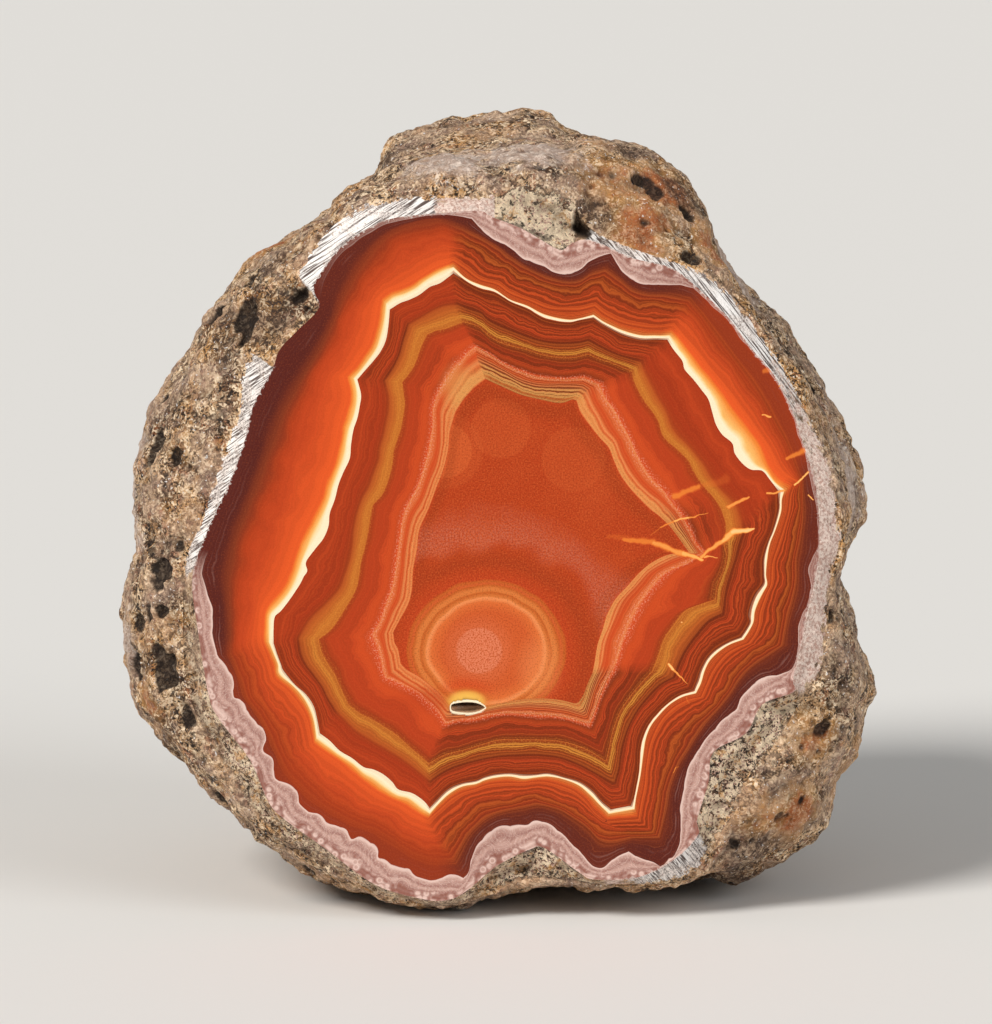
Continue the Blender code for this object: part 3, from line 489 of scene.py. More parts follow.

# Dark crumbly patches of the rind and the bevel, in the same form. Those round the recess at the upper left
# are painted shade in it.
DARK_PATCHES = (
    (-18.6, 15.4, 1.5, 2.6), (-20.8, 14, 4, 2.4), (7.6, 23.8, 1.8, 1.9), (25, -28.5, 13, 4),
    (19, -30.5, 8, 3.5), (-21.5, 12.5, 2.5, 1.6), (26.5, -13, 3, 1.8), (-26.5, -12, 5, 2.4),
    (-22.5, 3.5, 3, 1.6), (-25.5, -19, 8, 2.6), (18, 22, 9, 2.2), (-14, -29.5, 9, 2.5), (27.5, 8.5, 9, 2),
    (-10, 28.5, 20, 3.5), (24, 12, 30, 4), (-4, -20, 41, 5), (21, -28.2, 4, 3.2), (15.5, 26.5, 6, 2.6),
    (10.5, 28.5, 9, 2.4), (-16.5, 17, 0.8, 1.5), (-25, 8.5, 6, 1.8), (-27.5, 1, 7, 1.8),
    (-22, 13.5, 7, 2), (-18.3, 20, 4, 2),
)

# How strongly the fine relief shows on the bevel where it isn't ground, how much more on the host
# rock, the least that is left where it is ground, and how far the host rock lies back in millimetres.
BEVEL_RELIEF = 1.2
HOST_RELIEF = 0.8
GROUND_RELIEF = 0.06
HOST_SETBACK = 0.3

# Holes in the bevel and the host rock: (right, up, reach, depth), in millimetres.
BEVEL_HOLES = ((7.2, 23.2, 1.25, 1.5), (-15.6, 17.2, 0.8, 0.8), (-15.0, 15.9, 0.5, 0.5))

# The crystal-lined hollow that opens on the cut: its middle, the middle of the glow above it, the half
# sizes of its rim and of the space in it, the dip in the cut as a share of its rim, its depth, how
# pointed its right end is, the share of its rings on the lip, how far the rim stands proud and its
# outer edge is tucked in, the crystals' size and height, and the mesh's spokes and rings.
VUG_MIDDLE = (-2.24, -15.64)
HALO_MIDDLE = (-2.35, -15.1)
VUG_RIM = (1.62, 0.64)
VUG_SPACE = (1.36, 0.42)
VUG_DIP = 0.88
VUG_DEPTH = 1.2
VUG_POINT = 0.4
VUG_LIP = 0.3
RIM_LIFT = 0.02
RIM_TUCK = 0.05
CRYSTAL_SIZE = 0.35
CRYSTAL_HEIGHT = 0.1
VUG_SPOKES = 128
VUG_RINGS = 48

# The round spherulite at the bottom of the field: the middles of its core and of its rings.
CORE_MIDDLE = (-1.35, -11.1)
RINGS_MIDDLE = (-0.75, -11.1)

# Faint discs in the field, where the colour is lighter: (right, up, radius, strength).
DISCS = ((0.4, 6.7, 2.5, 0.35), (6.2, 4.2, 2.7, 0.3), (-4.1, 4.9, 2.3, 0.8), (-4.1, 4.9, 3.2, 0.3))

FLAME_STRENGTH = 0.8

# Grains a millimetre in the rind and in the host rock, coarse and fine.
RIND_GRAINS = (2.4, 6.5)
HOST_GRAINS = (3.2, 7.0)

# The grinding scratches: their slants in degrees on the left and on the right, and how their noise is
# stretched along, out of and across them.
SCRATCH_TURNS = (33.0, -52.0)
SCRATCH_STRETCH = (0.3, 1.0, 8.5)

# Streaks of flame colour along healed cracks: (start, end, half widths there, strength), right and up.
STREAKS = (
    ((9, -2), (10.6, -2.1), 0.3, 0.5, 0.25), ((10.2, -2.2), (12.6, -2.4), 0.3, 0.45, 0.5),
    ((12.6, -2.5), (14.9, -3.3), 0.40, 0.40, 0.65), ((14.9, -3.3), (16.5, -3.85), 0.35, 0.22, 0.85),
    ((16.4, -3.6), (18.1, -2.3), 0.22, 0.32, 0.7), ((18.1, -2.3), (19, -1.6), 0.32, 0.42, 0.85),
    ((19, -1.6), (20.6, -1.35), 0.45, 0.16, 1), ((16.7, -3.6), (17.7, -3.6), 0.13, 0.05, 0.75),
    ((14.3, 1.3), (16.2, 2), 0.45, 0.35, 0.5), ((16.2, 2), (18.4, 2.6), 0.35, 0.7, 0.22),
    ((18.6, 0.4), (20.2, 1.2), 0.28, 0.12, 0.65), ((12.4, -1.9), (13.2, -1.2), 0.05, 0.1, 0.35),
    ((13.2, -1.2), (14.3, -0.75), 0.1, 0.14, 0.55), ((14.3, -0.75), (15.4, -0.4), 0.14, 0.1, 0.85),
    ((15.4, -0.4), (17, -0.1), 0.1, 0.04, 0.6), ((21.7, 1.5), (23.1, 1.7), 0.16, 0.16, 0.7),
    ((23.9, 2.2), (25, 3.2), 0.12, 0.16, 0.95), ((25, 1.4), (25.35, 1), 0.08, 0.08, 0.9),
    ((13.8, -12.2), (14.2, -12.6), 0.2, 0.16, 1), ((14.2, -12.6), (15.3, -13.7), 0.15, 0.03, 0.7),
    ((15.2, -14.8), (15.5, -15.4), 0.05, 0.03, 0.45), ((14.2, -20.9), (14.35, -20.4), 0.05, 0.05, 0.6),
    ((14.35, -20.4), (14.65, -20.35), 0.05, 0.03, 0.5), ((14.87, -8.82), (14.95, -8.8), 0.08, 0.08, 1),
    ((21.3, 7.75), (21.9, 7.65), 0.1, 0.16, 0.75), ((21.4, 11.2), (22.6, 11.5), 0.25, 0.6, 0.4),
    ((22.6, 10.1), (22.9, 10.3), 0.08, 0.12, 0.9), ((23.3, 4.3), (24.9, 5), 0.2, 0.5, 0.5),
)


def tint(name, about, red, green, blue):
    """A colour that the panel shows, given as 0 to 255."""
    return bpy.props.FloatVectorProperty(
        name=name,
        description=about,
        default=(red / 255, green / 255, blue / 255),
        min=0.0,
        max=1.0,
        size=3,
        subtype="COLOR_GAMMA",
    )


class AgateColours(bpy.types.PropertyGroup):
    """Colours of the cut's bands and field."""

    field: tint("Field", "The grainy orange inside the bands", 179, 62, 25)
    field_light: tint("Light field", "The lighter arcs and discs in the field", 204, 90, 43)
    peach: tint("Peach", "The palest lines round the field", 236, 142, 84)
    coral: tint("Coral", "Between the pale lines and the carnelian", 214, 100, 50)
    straw: tint("Straw", "The yellowish lines at the top of the field", 224, 162, 90)
    spark: tint("Ring orange", "The orange of the round spherulite", 217, 108, 52)
    ring: tint("Ring gold", "The wide ring round the spherulite", 214, 120, 58)
    grain: tint("Pink grains", "The pale grains beside the third band", 232, 158, 130)
    carnelian: tint("Carnelian", "The red-orange between the bands", 206, 76, 33)
    brick: tint("Brick", "The darker carnelian", 187, 64, 28)
    rust: tint("Rust", "The red-brown between the bands", 168, 59, 24)
    deep_red: tint("Deep red", "The red beside the white band", 164, 53, 22)
    brown: tint("Brown", "The brown lines", 138, 52, 19)
    dark: tint("Dark brown", "The darkest fine lines", 108, 40, 15)
    tawny: tint("Tawny", "The outer side of the ochre band", 190, 92, 36)
    ochre: tint("Ochre", "The wide ochre band", 198, 112, 42)
    gold: tint("Gold", "The bright lines in the ochre band", 218, 146, 58)
    cream: tint("Cream", "The white band", 252, 234, 198)
    warm_cream: tint("Warm cream", "The outer side of the white band", 250, 218, 162)
    glow: tint("Glow", "The yellow beside the white band", 246, 186, 104)
    honey: tint("Honey", "The yellow above the small hollow", 240, 186, 84)
    amber: tint("Amber", "The orange beyond the glow", 240, 136, 54)
    orange: tint("Bright orange", "The glowing wide band on the left", 230, 90, 38)
    umber: tint("Umber", "Where the carnelian darkens into the plum", 118, 48, 28)
    plum: tint("Plum", "The dark outer zone", 86, 34, 28)
    lilac: tint("Lilac", "The outermost chalcedony", 194, 156, 144)
    pale_lilac: tint("Pale lilac", "The thin pale lines in the lilac", 230, 200, 188)
    lilac_shade: tint("Lilac shade", "The darker parts of the lilac", 160, 117, 107)
    chip: tint("Chips", "The ground chips along the edge of the cut", 214, 200, 192)


class RindColours(bpy.types.PropertyGroup):
    """Colours of the rind, the bevel and the crystals."""

    tan: tint("Tan", "The usual colour of the rind", 224, 182, 136)
    umber: tint("Umber", "The darker parts of the rind", 122, 84, 54)
    gold: tint("Golden tan", "The warm parts of the rind", 222, 162, 92)
    rust: tint("Rust", "The iron-stained patches", 176, 94, 46)
    grey: tint("Lavender grey", "The smooth grey patches", 204, 174, 156)
    # Also the painted shade of the recess at the upper left.
    soot: tint("Dark rind", "The dark crumbly patches", 66, 46, 33)
    # Painted shade: the dark put in the pits, creases, holes, gaps between grains, along the host rock's
    # edges and in the top of the small hollow.
    pit_shade: tint("Pits", "The bottoms of the pits", 34, 21, 12)
    cream: tint("Host rock", "The cream host rock and the palest grains", 255, 230, 196)
    # Also used for the painted glints on the rind.
    ground: tint("Ground bevel", "The lighter grey of the bevel", 255, 250, 246)
    scratch: tint("Scratches", "The darker scratches on the bevel", 92, 76, 70)
    sugar: tint("Sugary edge", "The pinkish grains at the cut's edge", 255, 232, 218)
    sugar_shade: tint("Sugary shade", "Between the pinkish grains", 206, 164, 148)
    crystal: tint("Crystals", "The quartz at the rim of the small hollow", 250, 234, 202)
    inner: tint("Inner crystals", "The quartz inside the small hollow", 226, 178, 138)


class StageSizes(bpy.types.PropertyGroup):
    """Sizes and strengths of the floor and the lights."""

    floor: bpy.props.FloatProperty(
        name="Floor", description="Half the width of the floor", default=4.0, unit="LENGTH"
    )
    key: bpy.props.FloatProperty(
        name="Key light", description="Strength of the soft light at the upper left", default=2.65
    )
    fill: bpy.props.FloatProperty(
        name="Fill light", description="Strength of the softer light at the right", default=0.9
    )
    sky: bpy.props.FloatProperty(
        name="Sky", description="Strength of the even light from all round", default=0.26
    )


def linear(colour):
    """A display colour from 0 to 1 as the linear values that shaders take."""
    shares = np.array(colour)
    low = shares / 12.92
    high = ((shares + 0.055) / 1.055) ** 2.4
    return (*np.where(shares <= 0.04045, low, high), 1.0)


def held(value):
    """A value held between 0 and 1."""
    return np.clip(value, 0.0, 1.0)


def eased(share):
    """A share from 0 to 1 that starts and ends level."""
    return share * share * (3.0 - 2.0 * share)


def catmull_rom(before, here, after, beyond):
    """Points on each span of a Catmull-Rom spline, from the four places round the span."""
    t = np.linspace(0.0, 1.0, CURVE_STEPS, endpoint=False)[None, :, None]
    curve = here + 0.5 * t * (after - before)
    curve = curve + 0.5 * t**2 * (2 * before - 5 * here + 4 * after - beyond)
    curve = curve + 0.5 * t**3 * (3 * here - before - 3 * after + beyond)
    return curve.reshape(-1, 2)


def reach_at(curve, angles):
    """A closed curve round the origin, read as its radius at each angle."""
    turns = np.arctan2(curve[:, 1], curve[:, 0])
    return np.interp(angles, turns, np.hypot(curve[:, 0], curve[:, 1]), period=2 * pi)


def radius_by_angle(outline, angles):
    """The outline as a smooth closed curve, read as a radius at each angle round its middle."""
    points = np.array(outline)
    curve = catmull_rom(*(np.roll(points, shift, 0)[:, None] for shift in (1, 0, -1, -2)))
    return reach_at(curve, angles)


def arc_points(arc, end, count):
    """Places evenly spaced along one arc: a Catmull-Rom spline that runs on straight past its ends."""
    points = np.array((*arc, end))
    points = np.vstack((2 * points[0] - points[1], points, 2 * points[-1] - points[-2]))
    curve = catmull_rom(*(points[i : len(points) - 3 + i][:, None] for i in range(4)))
    curve = np.vstack((curve, points[-2]))
    along = np.append(0.0, np.hypot(*np.diff(curve, axis=0).T).cumsum())
    wanted = np.linspace(0.0, along[-1], count, endpoint=False)
    return np.stack([np.interp(wanted, along, curve[:, axis]) for axis in (0, 1)], axis=1)


def band_ring(band):
    """One band as a ring of points, one for each column of the mesh."""
    ends = [arc[0] for arc in band[1:] + band[:1]]
    return np.vstack(
        [arc_points(arc, end, row[0]) for arc, end, row in zip(band, ends, SECTORS)]
    )


def column_angles():
    """The angle of each column at the cut's edge: the last band's, made to fall without a step back
    by a running average and a small share of an even fall."""
    ring = band_ring(LILAC_EDGE)
    angles = np.unwrap(np.arctan2(ring[:, 1], ring[:, 0]))
    around = np.minimum.accumulate(np.concatenate((angles + 2 * pi, angles, angles - 2 * pi)))
    near = np.pad(around, ANGLE_BLUR // 2, "edge")
    smooth = np.convolve(near, np.ones(ANGLE_BLUR) / ANGLE_BLUR, "valid")
    smooth = smooth[COLUMNS : 2 * COLUMNS]
    even = smooth[0] - 2 * pi * np.arange(COLUMNS) / COLUMNS
    return smooth + (even - smooth) * EVEN_SHARE


def lattice_noise(points, size, seed):
    """Smooth noise from -1 to 1: random values on a grid of this size, blended between its corners."""
    values = np.random.default_rng(seed).uniform(-1.0, 1.0, (NOISE_SIDE,) * 3)
    place = points / size + NOISE_SIDE
    corner = np.floor(place).astype(int)
    share = eased(place - corner)
    total = np.zeros(points.shape[:-1])
    for step in np.ndindex(2, 2, 2):
        weight = np.where(step, share, 1.0 - share).prod(axis=-1)
        cell = (corner + step) % NOISE_SIDE
        total += weight * values[cell[..., 0], cell[..., 1], cell[..., 2]]
    return total


def cell_distance(points, size, seed):
    """Distance to the nearest of the points scattered one in each cell of a grid, as a share of its size."""
    scatter = np.random.default_rng(seed).uniform(0.1, 0.9, (NOISE_SIDE,) * 3 + (3,))
    place = points / size + NOISE_SIDE
    corner = np.floor(place).astype(int)
    nearest = np.full(points.shape[:-1], 9.0)
    for step in np.ndindex(3, 3, 3):
        cell = corner + step - 1
        wrapped = cell % NOISE_SIDE
        spot = cell + scatter[wrapped[..., 0], wrapped[..., 1], wrapped[..., 2]]
        nearest = np.minimum(nearest, np.linalg.norm(place - spot, axis=-1))
    return nearest


def nearness(points, spot, reach):
    """1 at a spot, falling by e to the minus square of the distance from it over its reach."""
    away = np.linalg.norm(points - np.array(spot), axis=-1) / reach
    return np.exp(-away * away)


def relief(points):
    """How far the rind stands out of its smooth form, in millimetres: swells, lumps and hollows."""
    height = np.zeros(points.shape[:-1])
    for number, (size, tall) in enumerate(SWELLS):
        height += tall * lattice_noise(points, size, SWELL_SEED + number)
    height *= eased(held((points[..., 2] - SWELL_START) / (SWELL_FULL - SWELL_START)))
    for *spot, reach, size in LUMPS:
        height += size * nearness(points, spot, reach)
    return height


def patches(points, spots):
    """Soft round patches, 1 in the middle of each and falling off over its reach."""
    total = np.zeros(points.shape[:-1])
    for *spot, reach in spots:
        total = np.maximum(total, nearness(points, spot, reach))
    return total


def rind_form(angles, share):
    """The smooth rind as (ring, column, 3). The share runs 0 to 1 on the flank, to 2 on the waist
    and to 3 on the back. The flank is a quarter of an ellipse from the bevel's edge to the near
    girth, the waist blends the near girth into the far one, and the back is a dome."""
    bevel, near, far, back = (
        radius_by_angle(outline, angles)
        for outline in (BEVEL_EDGE, NEAR_GIRTH, FAR_GIRTH, BACK_FORM)
    )
    part = np.asarray(share, float)[:, None]
    flank = held(part) * pi / 2
    waist = held(part - 1.0)
    dome = held(part - 2.0) * pi / 2
    radius = bevel + (near - bevel) * np.sin(flank)
    radius = radius + (far - near) * eased(waist)
    form = far + (back - far) * eased(np.sin(dome))
    radius = np.where(part > 2.0, form * np.maximum(np.cos(dome), 0.0) ** BACK_BLUNTNESS, radius)
    depth = BEVEL_DEPTH + (NEAR_DEPTH - BEVEL_DEPTH) * (1 - np.cos(flank))
    depth = depth + (FAR_DEPTH - NEAR_DEPTH) * waist + (BACK_DEPTH - FAR_DEPTH) * np.sin(dome)
    shift = 1 - np.cos(dome)
    return np.stack(
        (
            radius * np.cos(angles) + shift * BACK_SHIFT[0],
            radius * np.sin(angles) + shift * BACK_SHIFT[1],
            np.broadcast_to(depth, radius.shape),
        ),
        axis=-1,
    )


def outward(grid):
    """Unit normals of a grid whose columns close up: across its rings times along its columns."""
    across = np.gradient(grid, axis=0)
    along = np.roll(grid, -1, axis=1) - np.roll(grid, 1, axis=1)
    normal = np.cross(across, along)
    return normal / np.maximum(np.linalg.norm(normal, axis=-1, keepdims=True), 1e-9)


def rind_point(angle, depth):
    """The place on the smooth rind at an angle in degrees and a depth in millimetres."""
    line = rind_form(np.radians([angle]), np.linspace(0.0, 2.99, 240))[:, 0]
    return np.array([np.interp(depth, line[:, 2], line[:, axis]) for axis in range(3)])


def pit_depth(points):
    """How deep the open pits go at each point, in millimetres. Noise makes their outlines ragged."""
    ragged = sum(
        amount * lattice_noise(points, size, CELL_SEED + 20 + number)
        for number, (size, amount) in enumerate(PIT_RAGS)
    )
    depth = np.zeros(points.shape[:-1])
    for angle, back, *half in PITS:
        away = np.linalg.norm((points - rind_point(angle, back)) / np.array(half), axis=-1) + ragged
        depth = np.maximum(depth, 0.9 * min(half) * held(1.15 - away**2) ** 0.6)
    for number, (spacing, reach, deep) in enumerate(CELLS):
        away = cell_distance(points, spacing, CELL_SEED + number) / reach + ragged
        some = lattice_noise(points, spacing * 3, CELL_SEED + 10 + number) > 0.05
        depth = np.maximum(depth, some * deep * held(1.0 - away**2))
    return depth


def fine_relief(points):
    """Small lumps with creases between them, and grains on the lumps: the height in millimetres,
    and how much painted shade each point gets for lying in the creases."""
    folds = [
        (tall, np.abs(lattice_noise(points, size, FOLD_SEED + number)))
        for number, (size, tall) in enumerate(FOLDS)
    ]
    grains = sum(
        tall * lattice_noise(points, size, BUMP_SEED + number)
        for number, (size, tall) in enumerate(BUMPS)
    )
    height = grains + sum(tall * (lump - 0.25) for tall, lump in folds)
    crease_shade = sum(held(1.0 - lump / CREASE_EDGE) for _, lump in folds) * 0.5
    return height, held(crease_shade * 0.7 - grains * 2.5)


def rough_rind():
    """The whole rind as (ring, column, 3), and how much painted shade each point gets in the pits and in the
    creases.

    The swells, lumps, creases and pits are moves along the normals of the smooth form. The creases
    and pits fade out at the bevel, and nothing stands out in front of the cut."""
    spans = [np.linspace(n, n + 1, rings, endpoint=False) for n, rings in enumerate(RIND_RINGS)]
    share = np.concatenate(spans)
    smooth = rind_form(column_angles(), share)
    normal = outward(smooth)
    pits = pit_depth(smooth)
    fine, crease_shade = fine_relief(smooth)
    start = eased(held(share / RELIEF_START))[:, None]
    grid = smooth + normal * (relief(smooth) + (fine - pits) * start)[..., None]
    grid[..., 2] = np.maximum(grid[..., 2], RIND_SETBACK)
    return grid, held(pits / 0.6) * start, crease_shade * start


def to_world(points):
    """Right, up and depth in millimetres as metres in the frame, with the cut leaning back."""
    lean = float(CUT_LEAN)
    right = np.array((1.0, 0.0, 0.0))
    up = np.array((0.0, np.sin(lean), np.cos(lean)))
    back = np.array((0.0, np.cos(lean), -np.sin(lean)))
    axes = np.stack((right, up, back))
    return (points @ axes + np.array(CUT_MIDDLE)) * MM


def grid_faces(rings, columns, first_pole, last_pole):
    """Quads between neighbouring rings, which close round, and triangles to the poles."""
    ring = np.arange(rings - 1)[:, None] * columns
    column = np.arange(columns)[None, :]
    after = (column + 1) % columns
    quads = np.stack((ring + column, ring + after, ring + columns + after, ring + columns + column), -1)
    fans = []
    here = np.arange(columns)
    beyond = (here + 1) % columns
    if first_pole is not None:
        fans.append(np.stack((np.full(columns, first_pole), beyond, here), -1))
    if last_pole is not None:
        last = (rings - 1) * columns
        fans.append(np.stack((last + here, last + beyond, np.full(columns, last_pole)), -1))
    return quads.reshape(-1, 4), fans


def wrapped_uv(rings, columns, first_pole, last_pole, rows):
    """Corner coordinates of those faces: across is the column, and up is the ring's row."""
    column = np.broadcast_to(np.arange(columns)[None, :], (rings - 1, columns))
    low = np.broadcast_to(rows[:-1, None], (rings - 1, columns))
    high = np.broadcast_to(rows[1:, None], (rings - 1, columns))
    across = np.stack((column, column + 1, column + 1, column), -1) / columns
    along = np.stack((low, low, high, high), -1)
    corners = [np.stack((across, along), -1).reshape(-1, 2)]
    here = np.arange(columns)
    middle = (here + 0.5) / columns
    for pole, row, tip, order in ((first_pole, rows[0], 0.0, 1), (last_pole, rows[-1], 1.0, 0)):
        if pole is None:
            continue
        a = np.stack((here / columns, np.full(columns, row)), -1)
        b = np.stack(((here + 1) / columns, np.full(columns, row)), -1)
        c = np.stack((middle, np.full(columns, tip)), -1)
        corners.append(np.stack((c, b, a) if order else (a, b, c), 1).reshape(-1, 2))
    return np.vstack(corners)


def make_piece(name, points, faces, fans, uv_maps, attributes, material, node):
    """A mesh object from whole arrays, riding on the frame's root and standing for a node."""
    world = to_world(points)
    world[:, 2] = np.maximum(world[:, 2], 0.0)
    polygons = list(map(tuple, faces.tolist()))
    for fan in fans:
        polygons.extend(map(tuple, fan.tolist()))
    mesh = bpy.data.meshes.new(name)
    mesh.from_pydata(world.tolist(), [], polygons)
    for map_name, corners in uv_maps.items():
        layer = mesh.uv_layers.new(name=map_name)
        layer.data.foreach_set("uv", corners.astype(np.float32).ravel())
    for key, values in attributes.items():
        layer = mesh.attributes.new(key, "FLOAT", "POINT")
        layer.data.foreach_set("value", values.astype(np.float32).ravel())
    mesh.shade_smooth()
    mesh.materials.append(material)
    mesh.update()
    made = bpy.data.objects.new(name, mesh)
    bpy.context.scene.collection.objects.link(made)
    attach(made, "root")
    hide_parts(node)
    return made


class Nodes:
    """A node tree, with one method for each kind of node that the looks use."""

    def __init__(self, tree):
        self.tree = tree

    def node(self, kind, **settings):
        """A new node of this kind, with its settings."""
        made = self.tree.nodes.new("ShaderNode" + kind)
        for key, value in settings.items():
            setattr(made, key, value)
        return made

    def put(self, socket, value):
        """Links a worked-out value to a socket, or sets a plain one on it."""
        if isinstance(value, bpy.types.NodeSocket):
            self.tree.links.new(value, socket)
        elif value is not None:
            socket.default_value = value

    def math(self, operation, first, second=None, third=None, clamp=False):
        """One sum on numbers."""
        made = self.node("Math", operation=operation, use_clamp=clamp)
        for socket, value in zip(made.inputs, (first, second, third)):
            self.put(socket, value)
        return made.outputs[0]

    def vector(self, operation, first, second=None, scale=None):
        """One sum on vectors. Lengths and products come out as numbers."""
        made = self.node("VectorMath", operation=operation)
        self.put(made.inputs[0], first)
        self.put(made.inputs[1], second)
        self.put(made.inputs[3], scale)
        number = operation in ("DISTANCE", "DOT_PRODUCT", "LENGTH")
        return made.outputs[1 if number else 0]

    def between(self, value, start, end):
        """A soft step from 0 at the start to 1 at the end, which may be the lower of the two."""
        made = self.node("MapRange", interpolation_type="SMOOTHSTEP")
        for socket, given in zip(made.inputs, (value, start, end)):
            self.put(socket, given)
        return made.outputs[0]

    def mix(self, share, first, second):
        """The first colour turning into the second."""
        made = self.node("Mix", data_type="RGBA")
        for number, value in ((0, share), (6, first), (7, second)):
            self.put(made.inputs[number], value)
        return made.outputs[2]

    def scaled(self, value, factor, plus):
        """A value times a factor, and another value added."""
        return self.math("MULTIPLY_ADD", value, factor, plus)

    def product(self, first, *others):
        """Numbers multiplied together."""
        for other in others:
            first = self.math("MULTIPLY", first, other)
        return first

    def hill(self, value, rise, fall):
        """A soft hill: up over the rise's two values, and down again over the fall's, which start
        at its foot."""
        return self.product(self.between(value, *rise), self.between(value, *fall))

    def swayed(self, value, noise, amount):
        """A value moved up or down by noise from 0 to 1, within half this amount."""
        return self.scaled(self.math("SUBTRACT", noise, 0.5), amount, value)

    def blend(self, share, first, second):
        """The first number turning into the second."""
        made = self.node("Mix", data_type="FLOAT")
        for number, value in ((0, share), (2, first), (3, second)):
            self.put(made.inputs[number], value)
        return made.outputs[0]

    def over(self, base, cover, colour, strength=None):
        """A display colour over a base, by a cover from 0 to 1 and the strength it may have."""
        if strength is not None:
            cover = self.math("MULTIPLY", cover, strength)
        return self.mix(cover, base, linear(colour))

    def parts(self, value):
        """The three numbers of a vector."""
        made = self.node("SeparateXYZ")
        self.put(made.inputs[0], value)
        return made.outputs

    def row(self, uv_map):
        """How far up a point lies on a UV map."""
        return self.parts(self.node("UVMap", uv_map=uv_map).outputs[0])[1]

    def ramp(self, share, stops):
        """A colour by a number from 0 to 1, from (place, colour) stops."""
        made = self.node("ValToRGB")
        elements = made.color_ramp.elements
        for place, _ in stops[2:]:
            elements.new(place)
        for element, (place, colour) in zip(elements, stops):
            element.position = place
            element.color = colour
        self.put(made.inputs[0], share)
        return made.outputs[0]

    def texture(self, kind, inputs, output=0, **settings):
        """One output of a texture node with these inputs and settings."""
        made = self.node(kind, **settings)
        for name, value in inputs.items():
            self.put(made.inputs[name], value)
        return made.outputs[output]

    def noise(self, place, scale, detail=2.0, roughness=0.55, output=0):
        """Smooth noise from 0 to 1, this many swells a millimetre: one number, or a vector."""
        inputs = {"Vector": place, "Scale": scale, "Detail": detail, "Roughness": roughness}
        return self.texture("TexNoise", inputs, output)

    def line_noise(self, value, scale):
        """Noise from 0 to 1 along one number."""
        inputs = {"W": value, "Scale": scale, "Detail": 1.0}
        return self.texture("TexNoise", inputs, noise_dimensions="1D")

    def cells(self, place, scale, output=0):
        """Voronoi cells, this many a millimetre: the distance to their points, or their colours."""
        return self.texture("TexVoronoi", {"Vector": place, "Scale": scale}, output)

    def turned(self, place, angles, scale):
        """The place turned by these angles in degrees and then stretched."""
        first = self.node("Mapping")
        first.inputs["Rotation"].default_value = [radians(angle) for angle in angles]
        self.put(first.inputs["Vector"], place)
        return self.vector("MULTIPLY", first.outputs[0], scale)

    def attribute(self, name):
        """A value kept on the mesh."""
        return self.node("Attribute", attribute_name=name).outputs[2]


def new_look(name):
    """A material with its nodes, and the place of each point on it as (right, depth, up) in mm."""
    material = bpy.data.materials.new(name)
    material.use_nodes = True
    nodes = Nodes(material.node_tree)
    mapping = nodes.node("Mapping")
    turn = Matrix.Rotation(CUT_LEAN, 3, "X")
    mapping.inputs["Location"].default_value = -(turn @ Vector(CUT_MIDDLE))
    mapping.inputs["Rotation"].default_value = (CUT_LEAN, 0.0, 0.0)
    mapping.inputs["Scale"].default_value = (1 / MM,) * 3
    nodes.put(mapping.inputs["Vector"], nodes.node("TexCoord").outputs["Object"])
    return material, nodes, mapping.outputs[0]


def finish_look(nodes, colour, roughness, specular, height=None, bump=0.0, depth=0.0):
    """Sets the surface: colour, roughness, strength of its reflection, and a bump in millimetres."""
    shader = nodes.tree.nodes["Principled BSDF"]
    nodes.put(shader.inputs["Base Color"], colour)
    nodes.put(shader.inputs["Roughness"], roughness)
    shader.inputs["Specular IOR Level"].default_value = specular
    if height is not None:
        made = nodes.node("Bump")
        made.inputs["Strength"].default_value = bump
        made.inputs["Distance"].default_value = depth * MM
        nodes.put(made.inputs["Height"], height)
        nodes.put(shader.inputs["Normal"], made.outputs[0])


def streak_group():
    """A node group for one tapering streak: 1 on its line, fading to 0 at its half width."""
    group = bpy.data.node_groups.new("streak", "ShaderNodeTree")
    sockets = (
        ("Place", "NodeSocketVector"),
        ("Start", "NodeSocketVector"),
        ("End", "NodeSocketVector"),
        ("Start width", "NodeSocketFloat"),
        ("End width", "NodeSocketFloat"),
    )
    for name, kind in sockets:
        group.interface.new_socket(name=name, in_out="INPUT", socket_type=kind)
    group.interface.new_socket(name="Cover", in_out="OUTPUT", socket_type="NodeSocketFloat")
    nodes = Nodes(group)
    place, start, end, start_width, end_width = group.nodes.new("NodeGroupInput").outputs[:5]
    along = nodes.vector("SUBTRACT", end, start)
    offset = nodes.vector("SUBTRACT", place, start)
    length = nodes.vector("DOT_PRODUCT", along, along)
    share = nodes.math("DIVIDE", nodes.vector("DOT_PRODUCT", offset, along), length, clamp=True)
    away = nodes.vector("DISTANCE", offset, nodes.vector("SCALE", along, scale=share))
    growth = nodes.math("SUBTRACT", end_width, start_width)
    width = nodes.scaled(share, growth, start_width)
    cover = nodes.between(away, width, nodes.math("MULTIPLY", width, 0.2))
    nodes.put(group.nodes.new("NodeGroupOutput").inputs[0], cover)
    return group


